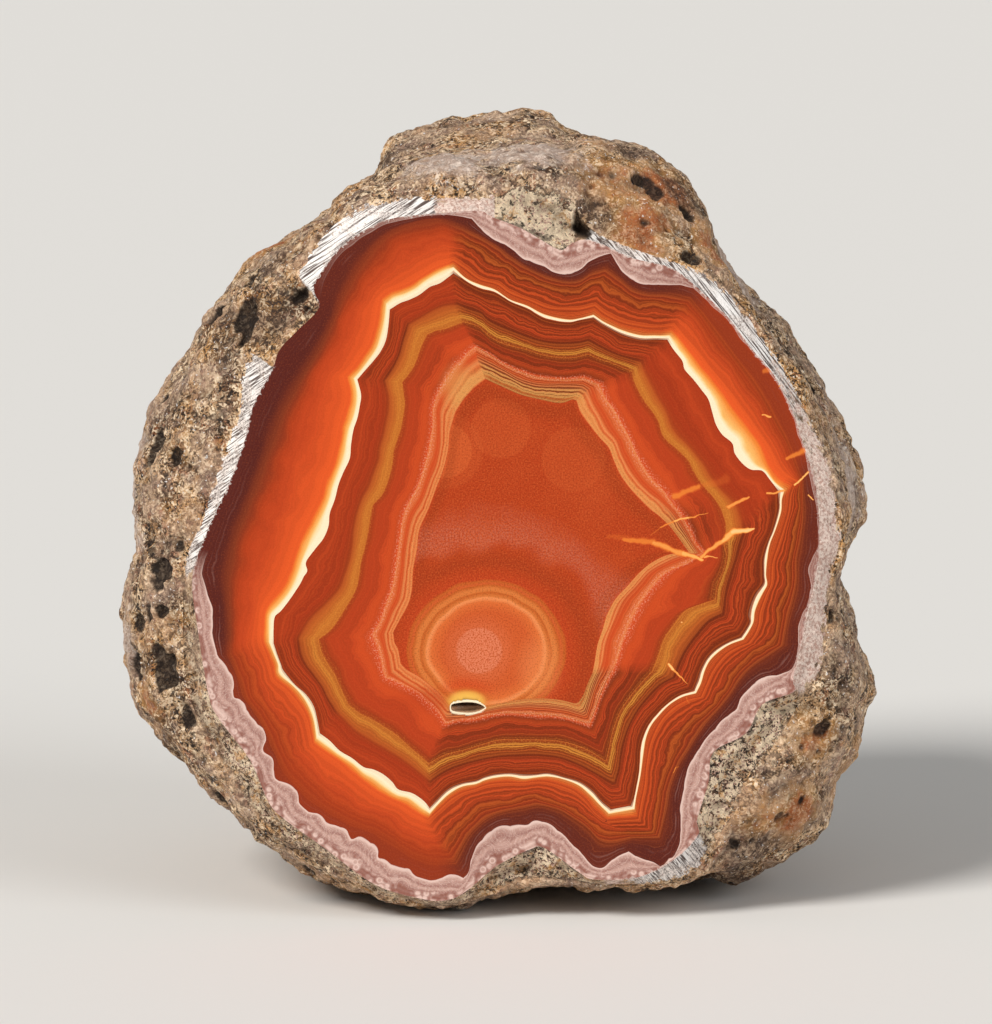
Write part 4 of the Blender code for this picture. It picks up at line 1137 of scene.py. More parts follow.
# How the cut's colour runs through the zones: (band coordinate, colour). The smooth list holds where
# the bands glow softly, and the lined one where they are finely lined. The last list is the lilac's.
SMOOTH_INSIDE = (
    (1.0, "brick"), (1.04, "coral"), (1.12, "peach"), (1.3, "coral"), (1.42, "peach"),
    (1.55, "coral"), (1.66, "carnelian"), (1.8, "peach"), (1.92, "coral"), (2.05, "carnelian"),
    (2.3, "carnelian"), (2.6, "coral"), (2.88, "coral"), (2.97, "peach"), (3.05, "carnelian"),
    (3.3, "carnelian"), (3.5, "brick"), (3.78, "brick"), (3.92, "rust"), (3.97, "rust"),
    (4.03, "ochre"), (4.35, "ochre"), (4.85, "tawny"), (5.08, "rust"), (5.25, "deep_red"),
    (5.45, "deep_red"), (5.7, "brick"), (6.0, "deep_red"),
)
LINED_INSIDE = (
    (1.0, "brown"), (1.07, "straw"), (1.2, "tawny"), (1.3, "straw"), (1.5, "straw"),
    (1.6, "brown"), (1.7, "straw"), (1.8, "dark"), (1.9, "peach"), (2.0, "brown"),
    (2.1, "peach"), (2.22, "rust"), (2.35, "coral"), (2.5, "rust"), (2.65, "coral"),
    (2.9, "peach"), (3.02, "carnelian"), (3.22, "brown"), (3.36, "brick"), (3.55, "dark"),
    (3.72, "brick"), (3.86, "dark"), (4.02, "tawny"), (4.16, "brown"), (4.34, "gold"),
    (4.52, "ochre"), (4.68, "brown"), (4.84, "tawny"), (5.0, "dark"), (5.3, "brick"),
    (5.6, "rust"), (6.0, "dark"),
)
SMOOTH_OUTSIDE = (
    (6.0, "cream"), (6.55, "cream"), (6.85, "warm_cream"), (7.05, "glow"), (7.4, "amber"),
    (7.7, "orange"), (8.0, "orange"), (8.35, "carnelian"), (8.65, "brick"), (8.85, "rust"),
    (9.0, "rust"), (11.0, "rust"),
)
LINED_OUTSIDE = (
    (6.0, "dark"), (6.2, "brown"), (6.32, "tawny"), (6.42, "cream"), (6.86, "cream"),
    (6.96, "glow"), (7.05, "carnelian"), (7.16, "rust"), (7.3, "carnelian"), (7.5, "orange"),
    (7.7, "carnelian"), (7.8, "brown"), (7.88, "carnelian"), (7.98, "orange"), (8.07, "rust"),
    (8.2, "carnelian"), (8.3, "brown"), (8.43, "carnelian"), (8.55, "dark"), (8.66, "tawny"),
    (8.76, "brown"), (8.88, "brick"), (8.98, "dark"), (9.1, "tawny"), (9.22, "umber"),
    (11.0, "umber"),
)
LILAC_LINES = (
    (10.0, "pale_lilac"), (10.05, "pale_lilac"), (10.12, "lilac"), (10.3, "lilac_shade"),
    (10.42, "lilac"), (10.5, "lilac"), (10.6, "lilac_shade"), (10.72, "lilac"), (10.82, "pale_lilac"),
    (10.9, "lilac"), (11.0, "pale_lilac"),
)

# The round spherulite's colours by the distance from its middle in millimetres, the flames' by their
# heat, and the host rock's by the lightness of its grains, whose darkest end is painted shade.
RING_STOPS = (
    (0.0, "coral"), (2.4, "field_light"), (3.4, "field_light"), (4.2, "spark"), (4.5, "peach"),
    (4.58, "peach"), (4.68, "ring"), (5.0, "tawny"), (5.12, "ring"), (5.35, "ring"), (5.6, "tawny"),
    (5.75, "field_light"), (6.0, "tawny"), (6.2, "brick"), (7.0, "field"), (7.6, "rust"),
    (8.6, "rust"), (10.0, "field"),
)
FLAME_STOPS = ((0.0, "orange"), (0.42, "amber"), (0.75, "glow"), (1.0, "cream"))
HOST_STOPS = ((0.0, "pit_shade"), (0.12, "umber"), (0.26, "sugar_shade"), (0.44, "cream"), (1.0, "cream"))


def colour_ramp(nodes, zone, stops, colours):
    """The colours of one of those lists by the number that its places are in."""
    first, last = stops[0][0], stops[-1][0]
    share = nodes.math("DIVIDE", nodes.math("SUBTRACT", zone, first), last - first)
    rows = [((place - first) / (last - first), linear(getattr(colours, key))) for place, key in stops]
    return nodes.ramp(share, rows)


def flat_distance(nodes, place, middle, stretch=(1.0, 1.0)):
    """Distance on the cut from a middle given as (right, up), stretched by these factors."""
    offset = nodes.vector("SUBTRACT", place, (middle[0], 0.0, middle[1]))
    offset = nodes.vector("MULTIPLY", offset, (stretch[0], 0.0, stretch[1]))
    return nodes.vector("LENGTH", offset)


def field_colour(nodes, place, drawn, colours):
    """The grainy orange inside the bands: faint discs, lines along its wall, and the spherulite."""
    cloud = nodes.between(nodes.noise(place, 0.2, 3.0), 0.42, 0.8)
    colour = nodes.over(linear(colours.field), cloud, colours.field_light, 0.3)
    for right, up, radius, strength in DISCS:
        cover = nodes.between(flat_distance(nodes, place, (right, up)), radius, radius * 0.9)
        colour = nodes.over(colour, cover, colours.field_light, strength)
    wall = nodes.hill(drawn, (0.84, 0.93), (0.995, 0.965))
    colour = nodes.over(colour, wall, colours.brown, 0.3)

    away = flat_distance(nodes, place, RINGS_MIDDLE, (0.97, 1.08))
    away = nodes.swayed(away, nodes.noise(place, 0.4, 1.0), 0.5)
    bent = nodes.swayed(away, nodes.noise(place, 0.22), 4.0)
    dust = nodes.between(nodes.noise(place, 7.0, 2.0, 0.7), 0.38, 0.66)
    dust = nodes.scaled(dust, 0.24, 0.03)
    colour = nodes.over(colour, nodes.hill(bent, (8.6, 10.2), (13.0, 10.4)), colours.grain, dust)
    rings = colour_ramp(nodes, away, RING_STOPS, colours)
    colour = nodes.mix(nodes.between(away, 9.4, 7.6), colour, rings)
    core = flat_distance(nodes, place, CORE_MIDDLE)
    grains = nodes.between(nodes.noise(place, 8.0, 3.0, 0.75), 0.4, 0.62)
    inside = nodes.over(linear(colours.coral), grains, colours.grain)
    cover = nodes.scaled(nodes.between(core, 1.95, 1.7), 0.45, 0.15)
    colour = nodes.mix(nodes.product(nodes.between(core, 3.2, 1.9), cover), colour, inside)
    colour = patch_over(nodes, place, colour, (3.4, -12.4), (1.0, 0.7), 2.4, 0.4, colours.peach)
    dots = nodes.between(nodes.noise(place, 2.6, 4.0, 0.8), 0.44, 0.38)
    near = nodes.between(flat_distance(nodes, place, (0.2, -11.0), (1.2, 0.8)), 1.7, 0.9)
    colour = nodes.over(colour, nodes.product(dots, near), colours.rust, 0.55)
    return patch_over(nodes, place, colour, (-2.5, -14.1), (0.45, 1.0), 1.3, 0.8, colours.carnelian)


def flames(nodes, place, colour, colours):
    """The streaks of flame colour over a colour, each a little ragged."""
    group = streak_group()
    shift = nodes.vector("SUBTRACT", nodes.noise(place, 1.3, 2.0, 0.5, output=1), (0.5, 0.5, 0.5))
    shift = nodes.vector("SCALE", shift, scale=0.45)
    bent = nodes.vector("MULTIPLY", nodes.vector("ADD", place, shift), (1.0, 0.0, 1.0))
    flame = 0.0
    for start, end, start_width, end_width, strength in STREAKS:
        made = nodes.node("Group", node_tree=group)
        nodes.put(made.inputs[0], bent)
        made.inputs[1].default_value = (start[0], 0.0, start[1])
        made.inputs[2].default_value = (end[0], 0.0, end[1])
        made.inputs[3].default_value = start_width
        made.inputs[4].default_value = end_width
        cover = nodes.math("MULTIPLY", made.outputs[0], strength * FLAME_STRENGTH)
        flame = nodes.math("MAXIMUM", cover, flame)
    hot = colour_ramp(nodes, flame, FLAME_STOPS, colours)
    return nodes.mix(nodes.between(flame, 0.0, 0.6), colour, hot)


def patch_over(nodes, place, colour, middle, stretch, reach, strength, over):
    """A soft patch of another colour round a middle given as (right, up)."""
    away = flat_distance(nodes, place, middle, stretch)
    return nodes.over(colour, nodes.between(away, reach, reach * 0.2), over, strength)


def lilac_look(nodes, place, zone, colours):
    """The lilac chalcedony and where it starts: a thin pale scalloped edge, soft arcs inside it,
    and small round grains beside the edge of the cut."""
    scallop = nodes.cells(place, 0.8)
    edge = nodes.scaled(nodes.math("SUBTRACT", scallop, 0.42), -0.17, zone)
    lilac = colour_ramp(nodes, edge, LILAC_LINES, colours)
    arcs = nodes.between(nodes.line_noise(scallop, 11.0), 0.5, 0.64)
    lilac = nodes.over(lilac, arcs, colours.pale_lilac, 0.3)
    specks = nodes.between(nodes.noise(place, 7.0, 2.0, 0.7), 0.5, 0.68)
    lilac = nodes.over(lilac, specks, colours.pale_lilac, 0.5)
    bubble = nodes.cells(place, 1.7)
    bubbles = linear(colours.lilac_shade)
    bubbles = nodes.over(bubbles, nodes.between(bubble, 0.52, 0.36), colours.pale_lilac)
    bubbles = nodes.over(bubbles, nodes.between(bubble, 0.52, 0.7), colours.umber)
    bubbles = nodes.over(bubbles, nodes.between(bubble, 0.3, 0.2), colours.lilac)
    some = nodes.between(nodes.noise(place, 0.7), 0.36, 0.5)
    where = nodes.product(nodes.between(edge, 10.55, 10.75), some, 0.75)
    return nodes.mix(where, lilac, bubbles), edge


def band_colour(nodes, place, drawn, zone, lines, colours):
    """The colours of the bands inside and outside the white one, with the straw lines, the dark
    outer zone and the lilac."""
    inside = colour_ramp(nodes, zone, SMOOTH_INSIDE, colours)
    straw = nodes.product(nodes.hill(zone, (1.02, 1.12), (1.85, 1.3)), nodes.attribute("straw"))
    inside = nodes.over(inside, straw, colours.straw, 0.75)
    inside = nodes.mix(lines, inside, colour_ramp(nodes, zone, LINED_INSIDE, colours))
    inside = patch_over(nodes, place, inside, (-5.3, -15.0), (0.4, 1.0), 1.5, 0.6, colours.brick)
    inside = patch_over(nodes, place, inside, (-2.9, 10.0), (1.0, 0.8), 2.0, 0.5, colours.straw)

    outside = colour_ramp(nodes, zone, SMOOTH_OUTSIDE, colours)
    outside = nodes.mix(lines, outside, colour_ramp(nodes, zone, LINED_OUTSIDE, colours))
    plum = nodes.attribute("plum")
    outside = nodes.over(outside, nodes.between(zone, 8.72, 9.0), colours.umber, plum)
    outside = nodes.over(outside, nodes.between(zone, 8.95, 9.4), colours.plum, plum)
    ribbon = nodes.attribute("lilac")
    veins = nodes.product(
        nodes.between(nodes.line_noise(zone, 6.0), 0.48, 0.72),
        nodes.between(zone, 9.05, 9.7),
        plum,
        nodes.between(nodes.noise(place, 0.35, 3.0), 0.4, 0.6),
        nodes.scaled(ribbon, 0.35, 0.12),
    )
    outside = nodes.over(outside, veins, colours.lilac_shade)
    lilac, edge = lilac_look(nodes, place, zone, colours)
    outside = nodes.mix(nodes.product(nodes.between(edge, 9.98, 10.01), ribbon), outside, lilac)
    return nodes.mix(nodes.math("GREATER_THAN", drawn, 6.0), inside, outside)


def hairlines(nodes, zone, lines, colour, colours):
    """Fine pale and dark lines that follow the bands, everywhere but in the white one."""
    coarse = nodes.product(nodes.line_noise(zone, 9.0), 0.55)
    fine = nodes.scaled(nodes.line_noise(zone, 24.0), 0.45, coarse)
    clear = nodes.hill(zone, (5.95, 6.1), (7.1, 6.98))
    calm = nodes.scaled(nodes.between(zone, 9.6, 9.0), 0.8, 0.2)
    strength = nodes.scaled(lines, 0.7, 0.05)
    strength = nodes.product(strength, nodes.math("SUBTRACT", 1.0, clear), calm)
    pale = nodes.over(linear(colours.peach), nodes.between(zone, 2.9, 3.1), colours.tawny)
    light = nodes.product(nodes.between(fine, 0.56, 0.66), strength, 0.6)
    colour = nodes.mix(light, colour, pale)
    return nodes.over(colour, nodes.between(fine, 0.54, 0.46), colours.dark, strength)


def grained(nodes, place, drawn, zone, colour, colours):
    """Grains over the bands and the field: pale pink beside the third band, gold in the ochre, and
    a trace of them elsewhere."""
    speck = nodes.noise(place, 8.0, 2.0, 0.7)
    bright = nodes.between(speck, 0.5, 0.66)
    pink = nodes.hill(zone, (2.45, 2.9), (3.2, 3.02))
    colour = nodes.over(colour, nodes.product(pink, bright), colours.grain, 0.85)
    gilt = nodes.hill(zone, (3.85, 4.05), (4.9, 4.2))
    colour = nodes.over(colour, nodes.product(gilt, bright), colours.gold, 0.4)
    field = field_colour(nodes, place, drawn, colours)
    colour = nodes.mix(nodes.math("GREATER_THAN", drawn, 1.0), field, colour)
    trace = nodes.scaled(nodes.between(drawn, 2.4, 1.0), 0.28, 0.1)
    colour = nodes.over(colour, bright, colours.spark, trace)
    return nodes.over(colour, nodes.between(speck, 0.5, 0.36), colours.dark, trace)


def edge_marks(nodes, place, colour, colours):
    """The glow above the small hollow, and pale chips along the edge of the cut."""
    halo = nodes.between(flat_distance(nodes, place, HALO_MIDDLE, (0.5, 0.9)), 1.2, 0.3)
    halo = nodes.product(halo, nodes.between(nodes.parts(place)[2], -16.1, -15.6))
    hot = nodes.over(linear(colours.ochre), nodes.between(halo, 0.2, 0.8), colours.honey)
    colour = nodes.mix(nodes.product(halo, 0.95), colour, hot)
    chips = nodes.math("MULTIPLY", nodes.attribute("inset"), -1.3)
    chips = nodes.scaled(nodes.noise(place, 3.0, 3.0, 0.75), 1.6, chips)
    chips = nodes.product(nodes.between(chips, 0.7, 0.78), nodes.attribute("ground"))
    return nodes.over(colour, chips, colours.chip, 0.85)


def cut_look(colours):
    """The polished cut: the bands by the coordinate kept on the mesh, with grain and flames. The
    lines wander between the drawn bands and lie still on them."""
    material, nodes, place = new_look("polished_agate")
    drawn = nodes.product(nodes.row("bands"), float(ZONES))
    lines = nodes.attribute("lines")
    sway = nodes.product(nodes.math("PINGPONG", drawn, 0.5), 1.5, nodes.between(drawn, 1.0, 1.1))
    zone = nodes.swayed(drawn, nodes.noise(place, 0.42, 3.0), sway)
    early = nodes.hill(drawn, (6.15, 6.5), (8.4, 7.2))
    zone = nodes.scaled(early, nodes.attribute("glow"), zone)

    colour = band_colour(nodes, place, drawn, zone, lines, colours)
    colour = hairlines(nodes, zone, lines, colour, colours)
    colour = grained(nodes, place, drawn, zone, colour, colours)
    colour = edge_marks(nodes, place, colour, colours)
    finish_look(nodes, flames(nodes, place, colour, colours), 0.22, 0.2)
    return material


def rock_grain(nodes, place, sizes):
    """Grit from 0 to 1: angular grains of two sizes, in grains a millimetre, each with its own
    lightness, and finer noise."""
    warp = nodes.vector("MULTIPLY", nodes.noise(place, 1.6, 2.0, 0.5, output=1), (0.8, 0.8, 0.8))
    bent = nodes.vector("ADD", warp, place)
    grit = nodes.math("MULTIPLY", nodes.cells(bent, sizes[0], output=1), 0.32)
    grit = nodes.scaled(nodes.cells(bent, sizes[1], output=1), 0.4, grit)
    grit = nodes.scaled(nodes.noise(place, sizes[0], 3.0, 0.75), 0.45, grit)
    return nodes.between(grit, 0.36, 0.8)


def rock_colour(nodes, place, grit, colours):
    """Granular tan and gold stone: blotches a few millimetres wide, gaps and dents darkened with painted
    shade, and light grains, which show more where the stone is loose than on its smoother skin."""
    loose = nodes.between(nodes.noise(place, 0.28, 4.0, 0.65), 0.4, 0.6)
    blotch = nodes.between(nodes.noise(place, 0.5, 5.0, 0.7), 0.38, 0.6)
    base = nodes.over(linear(colours.umber), blotch, colours.tan)
    warm = nodes.between(nodes.noise(place, 0.19, 4.0, 0.65), 0.47, 0.6)
    base = nodes.over(base, warm, colours.gold, 0.8)
    stain = nodes.between(nodes.noise(place, 0.8, 4.0, 0.7), 0.54, 0.64)
    base = nodes.over(base, stain, colours.rust, 0.6)
    base = nodes.over(base, nodes.math("SUBTRACT", 1.0, loose), colours.grey, 0.5)
    light = nodes.scaled(loose, 0.5, 0.4)
    base = nodes.over(base, nodes.between(grit, 0.6, 1.0), colours.cream, light)
    # Painted shade in the low gaps between grains.
    gap_shade = nodes.scaled(loose, 0.5, 0.5)
    base = nodes.over(base, nodes.between(grit, 0.46, 0.06), colours.pit_shade, gap_shade)
    # Painted shade of small dents.
    dent_shade = nodes.between(nodes.noise(place, 1.1, 3.0, 0.7), 0.43, 0.36)
    return nodes.over(base, dent_shade, colours.pit_shade, nodes.scaled(loose, 0.55, 0.35))


def darkened(nodes, base, ragged, grit, colours):
    """The dark crumbly patches kept on the mesh, over a colour; those at the recess at the upper left are
    painted shade.
    """
    shade = nodes.scaled(ragged, 1.6, nodes.attribute("dark"))
    strength = nodes.scaled(grit, -0.6, 0.95)
    return nodes.over(base, nodes.between(shade, 0.2, 0.7), colours.soot, strength)


def rind_look(colours):
    """The rough rind: granular tan stone with rusty patches, smoother grey skin, painted shade in the
    pits and creases, and painted glints.
    """
    material, nodes, place = new_look("rind")
    grit = rock_grain(nodes, place, RIND_GRAINS)
    base = rock_colour(nodes, place, grit, colours)
    ragged = nodes.math("SUBTRACT", nodes.noise(place, 0.6, 4.0, 0.7), 0.5)
    rust = nodes.scaled(ragged, 1.4, nodes.attribute("rust"))
    strength = nodes.scaled(grit, -0.3, 0.55)
    base = nodes.over(base, nodes.between(rust, 0.1, 0.5), colours.gold, strength)
    strength = nodes.scaled(grit, -0.4, 0.95)
    base = nodes.over(base, nodes.between(rust, 0.4, 0.8), colours.rust, strength)
    skin = nodes.scaled(ragged, 1.8, nodes.attribute("grey"))
    faint = nodes.over(linear(colours.grey), grit, colours.ground, 0.45)
    base = nodes.mix(nodes.product(nodes.between(skin, 0.2, 0.7), 0.75), base, faint)
    # Painted shade in the creases.
    base = nodes.over(base, nodes.attribute("crease_shade"), colours.pit_shade, 0.6)
    base = darkened(nodes, base, ragged, grit, colours)
    # Painted glints: pale specks that stand in for highlights.
    painted_glint = nodes.between(nodes.noise(place, 4.2, 1.0, 0.5), 0.69, 0.75)
    base = nodes.over(base, painted_glint, colours.ground, 0.8)
    # Painted shade in the pits.
    hollow = nodes.between(nodes.attribute("hollow"), 0.2, 0.6)
    base = nodes.over(base, hollow, colours.pit_shade, nodes.scaled(grit, -0.15, 1.0))
    finish_look(nodes, base, 0.7, 0.35, grit, 1.0, 0.3)
    return material


def host_rock(nodes, place, colours):
    """Crumbly cream host rock: white, tan and dark grains side by side, the dark ones painted shade
    where the grains lie low, lighter at the top of the nodule, with gold spots and gaps darkened with
    painted shade. Gives the colour and the grains' height."""
    grains = rock_grain(nodes, place, HOST_GRAINS)
    salt = nodes.swayed(grains, nodes.noise(place, 0.7, 4.0, 0.75), 1.1)
    higher = nodes.between(nodes.parts(place)[2], -5.0, 15.0)
    salt = nodes.scaled(higher, 0.22, salt)
    colour = colour_ramp(nodes, salt, HOST_STOPS, colours)
    spots = nodes.between(nodes.noise(place, 0.9, 4.0, 0.75), 0.54, 0.62)
    colour = nodes.over(colour, spots, colours.gold, 0.65)
    # Painted shade in the gaps between grains.
    gaps = nodes.between(nodes.noise(place, 1.5, 4.0, 0.8), 0.44, 0.38)
    return nodes.over(colour, gaps, colours.pit_shade, 0.9), grains


def ground_stone(nodes, place, colours):
    """Ground stone: scratches that slant one way on the left and another way on the right, worn to
    frost in places, with small nicks. Gives the colour and the scratches' height."""
    slants = [
        nodes.noise(nodes.turned(place, (0.0, turn, 0.0), SCRATCH_STRETCH), 1.0, 1.0, 0.6)
        for turn in SCRATCH_TURNS
    ]
    side = nodes.between(nodes.parts(place)[0], -2.0, 2.0)
    scratch = nodes.between(nodes.blend(side, *slants), 0.4, 0.54)
    worn = nodes.between(nodes.noise(place, 0.5, 3.0, 0.6), 0.42, 0.62)
    frost = nodes.between(nodes.noise(place, 7.0, 2.0, 0.7), 0.4, 0.56)
    pale = nodes.over(linear(colours.ground), worn, colours.sugar, 0.4)
    lines = nodes.blend(nodes.product(worn, 0.6), scratch, frost)
    colour = nodes.mix(lines, linear(colours.scratch), pale)
    nicks = nodes.between(nodes.noise(place, 2.4, 4.0, 0.8), 0.4, 0.34)
    return nodes.over(colour, nicks, colours.umber, 0.75), scratch


def bevel_look(colours):
    """The ground bevel: scratched grey, sugary grains, cream host rock and tan rind by attributes,
    each with a ragged edge, and painted shade along the host rock's edges and in the creases and holes."""
    material, nodes, place = new_look("ground_bevel")
    grit = rock_grain(nodes, place, RIND_GRAINS)
    base = rock_colour(nodes, place, grit, colours)
    across = nodes.row("OFBake")
    ragged = nodes.math("SUBTRACT", nodes.noise(place, 1.1, 4.0, 0.75), 0.5)
    base = darkened(nodes, base, ragged, grit, colours)
    rim = nodes.scaled(ragged, 1.8, across)
    kept = nodes.between(rim, 0.93, 0.88)

    ground, scratch = ground_stone(nodes, place, colours)
    grains = nodes.between(nodes.noise(place, 4.0, 3.0, 0.75), 0.38, 0.58)
    sugar = nodes.over(linear(colours.sugar_shade), grains, colours.sugar)
    cream, salt = host_rock(nodes, place, colours)
    for name, colour in (("ground", ground), ("sugar", sugar), ("cream", cream)):
        share = nodes.scaled(ragged, 0.9, nodes.attribute(name))
        cover = nodes.product(nodes.between(share, 0.42, 0.58), kept)
        base = nodes.mix(cover, base, colour)
    # Painted shadow along the host rock's edges, where it lies back from the cut and where it meets the
    # rind.
    shore_shadow = nodes.between(nodes.scaled(ragged, 1.1, across), 0.1, 0.0)
    border_shadow = nodes.math("MAXIMUM", nodes.hill(rim, (0.84, 0.9), (1.02, 0.94)), shore_shadow)
    base = nodes.over(base, nodes.product(border_shadow, nodes.attribute("cream")), colours.pit_shade, 0.7)
    # Painted shade in the creases and holes.
    crease_shade = nodes.math("MULTIPLY", nodes.attribute("crease_shade"), 0.6, clamp=True)
    base = nodes.over(base, crease_shade, colours.pit_shade)
    loose = nodes.math("SUBTRACT", 1.05, nodes.attribute("ground"))
    height = nodes.scaled(scratch, 0.18, nodes.product(grit, loose))
    height = nodes.scaled(salt, nodes.attribute("cream"), height)
    finish_look(nodes, base, 0.6, 0.35, height, 1.0, 0.22)
    return material


def crystal_look(colours):
    """Small glassy quartz crystals, each with its own lightness, with painted shade under the upper lip."""
    material, nodes, place = new_look("drusy_quartz")
    shade = nodes.cells(place, 5.0)
    rim = nodes.scaled(nodes.math("SUBTRACT", shade, 0.4), 0.12, nodes.row("OFBake"))
    # Painted shade under the upper lip: the upper inside stays dark, and only the lower crystals take their
    # colour.
    lower = nodes.between(nodes.parts(place)[2], VUG_MIDDLE[1] + 0.2, VUG_MIDDLE[1] - 0.1)
    colour = nodes.over(linear(colours.pit_shade), lower, colours.inner)
    colour = nodes.over(colour, nodes.between(rim, 0.62, 0.74), colours.crystal)
    finish_look(nodes, colour, 0.25, 0.5, shade, 0.5, 0.08)
    return material


def cut_grid():
    """The rings of the cut as (ring, column, 2), and the band coordinate of each ring.

    Each zone is blended straight from its inner band to its outer one, and the rings of the field
    lie closer together towards its edge. The last two bands are held just inside the cut's edge."""
    angles = column_angles()
    rings = [np.broadcast_to(np.array(FIELD_MIDDLE), (COLUMNS, 2))]
    rings.extend(band_ring(band) for band in BANDS)
    for number, room in EDGE_ROOM:
        ring = rings[number]
        reach = np.hypot(ring[:, 0], ring[:, 1])
        limit = radius_by_angle(CUT_EDGE, np.arctan2(ring[:, 1], ring[:, 0])) - room
        rings[number] = ring * np.minimum(1.0, limit / reach)[:, None]
    edge = radius_by_angle(CUT_EDGE, angles)
    rings.append(np.stack((edge * np.cos(angles), edge * np.sin(angles)), axis=1))
    grid = []
    zones = []
    for zone, count in enumerate(ZONE_RINGS):
        for share in np.linspace(0.0, 1.0, count, endpoint=False):
            if zone == 0:
                share = 1.0 - (1.0 - share) ** FIELD_CROWDING
            grid.append(rings[zone] + (rings[zone + 1] - rings[zone]) * share)
            zones.append(zone + share)
    grid.append(rings[-1])
    zones.append(float(ZONES))
    return np.array(grid), np.array(zones)


def by_sector(values):
    """One value of each sector for each of its columns."""
    return np.repeat(values, [row[0] for row in SECTORS], axis=0)


def blurred(values, width):
    """Values of the columns, averaged over this many neighbours on the ring."""
    moved = [np.roll(values, step, axis=0) for step in range(-(width // 2), width // 2 + 1)]
    return np.mean(moved, axis=0)


def bevel_looks(angles):
    """The shares of ground, sugary and cream bevel, and of lilac inside it, at each angle."""
    looks = np.array(BEVEL_LOOKS)
    turns = np.degrees(angles) % 360
    return [np.interp(turns, looks[:, 0], looks[:, column], period=360) for column in (1, 2, 3, 4)]


def vug_plan(turn):
    """The plan of the small hollow at each turn round it, as shares of its half sizes: an ellipse
    with a blunt left end and a pointed right one, so up is the sine of the turn to a power that
    runs from below 1 at the left to above 1 at the right."""
    power = 1.0 + VUG_POINT * (1.3 * np.cos(turn) + 0.1)
    return np.stack((np.cos(turn), np.sign(np.sin(turn)) * np.abs(np.sin(turn)) ** power), axis=-1)


def make_cut(colours, sizes):
    """The polished cut: rings along the bands, dipped where the small hollow opens. The dip's depth
    is the root of one less the square of the distance from its middle, as a share of its outline."""
    grid, zones = cut_grid()
    offset = grid - np.array(VUG_MIDDLE)
    outline = vug_plan(np.linspace(-pi, pi, 256)) * np.array(VUG_RIM) * VUG_DIP
    reach = reach_at(outline, np.arctan2(offset[..., 1], offset[..., 0]))
    share = np.hypot(offset[..., 0], offset[..., 1]) / reach
    depth = sizes.vug_depth / MM * np.sqrt(held(1.0 - share**2))
    points = np.concatenate((grid, depth[..., None]), axis=-1)

    zone_of_ring = np.minimum(zones.astype(int), ZONES - 1)
    lines = blurred(by_sector(np.array([(0.0, *row[4]) for row in SECTORS])), SEAM_BLUR)
    lines = lines[:, zone_of_ring].T
    right, up, reach, strength, last = LINED_PATCH
    patch = np.exp(-((grid[..., 0] - right) ** 2 + (grid[..., 1] - up) ** 2) / reach**2)
    lines = np.maximum(lines, strength * patch * (zones[:, None] < last))
    plum, glow, straw = (
        blurred(by_sector(np.array([row[column] for row in SECTORS])), 2 * SEAM_BLUR + 1)
        for column in (1, 2, 3)
    )
    ground, _, _, lilac = bevel_looks(column_angles())
    edge = radius_by_angle(CUT_EDGE, np.arctan2(grid[..., 1], grid[..., 0]))
    inset = edge - np.hypot(grid[..., 0], grid[..., 1])

    rings = len(zones)
    flat = np.vstack((points[1:].reshape(-1, 3), (*FIELD_MIDDLE, 0.0)))
    pole = len(flat) - 1
    quads, fans = grid_faces(rings - 1, COLUMNS, pole, None)
    rows = zones[1:] / ZONES
    bands = wrapped_uv(rings - 1, COLUMNS, pole, None, rows)
    order = np.concatenate((quads.ravel(), *(fan.ravel() for fan in fans)))
    low = flat[:, :2].min(axis=0)
    span = (flat[:, :2].max(axis=0) - low).max()
    plan = (flat[order, :2] - low) / span
    kept = {"lines": np.append(lines[1:].ravel(), 0.0)}
    columns = {"plum": plum, "glow": glow, "straw": straw, "lilac": lilac, "ground": ground}
    for key, values in columns.items():
        kept[key] = np.append(np.tile(values, rings - 1), 0.0)
    kept["inset"] = np.append(inset[1:].ravel(), inset[0, 0])
    maps = {"OFBake": plan, "bands": bands}
    look = cut_look(colours)
    return make_piece("polished_cut", flat, quads, fans, maps, kept, look, "nodule")


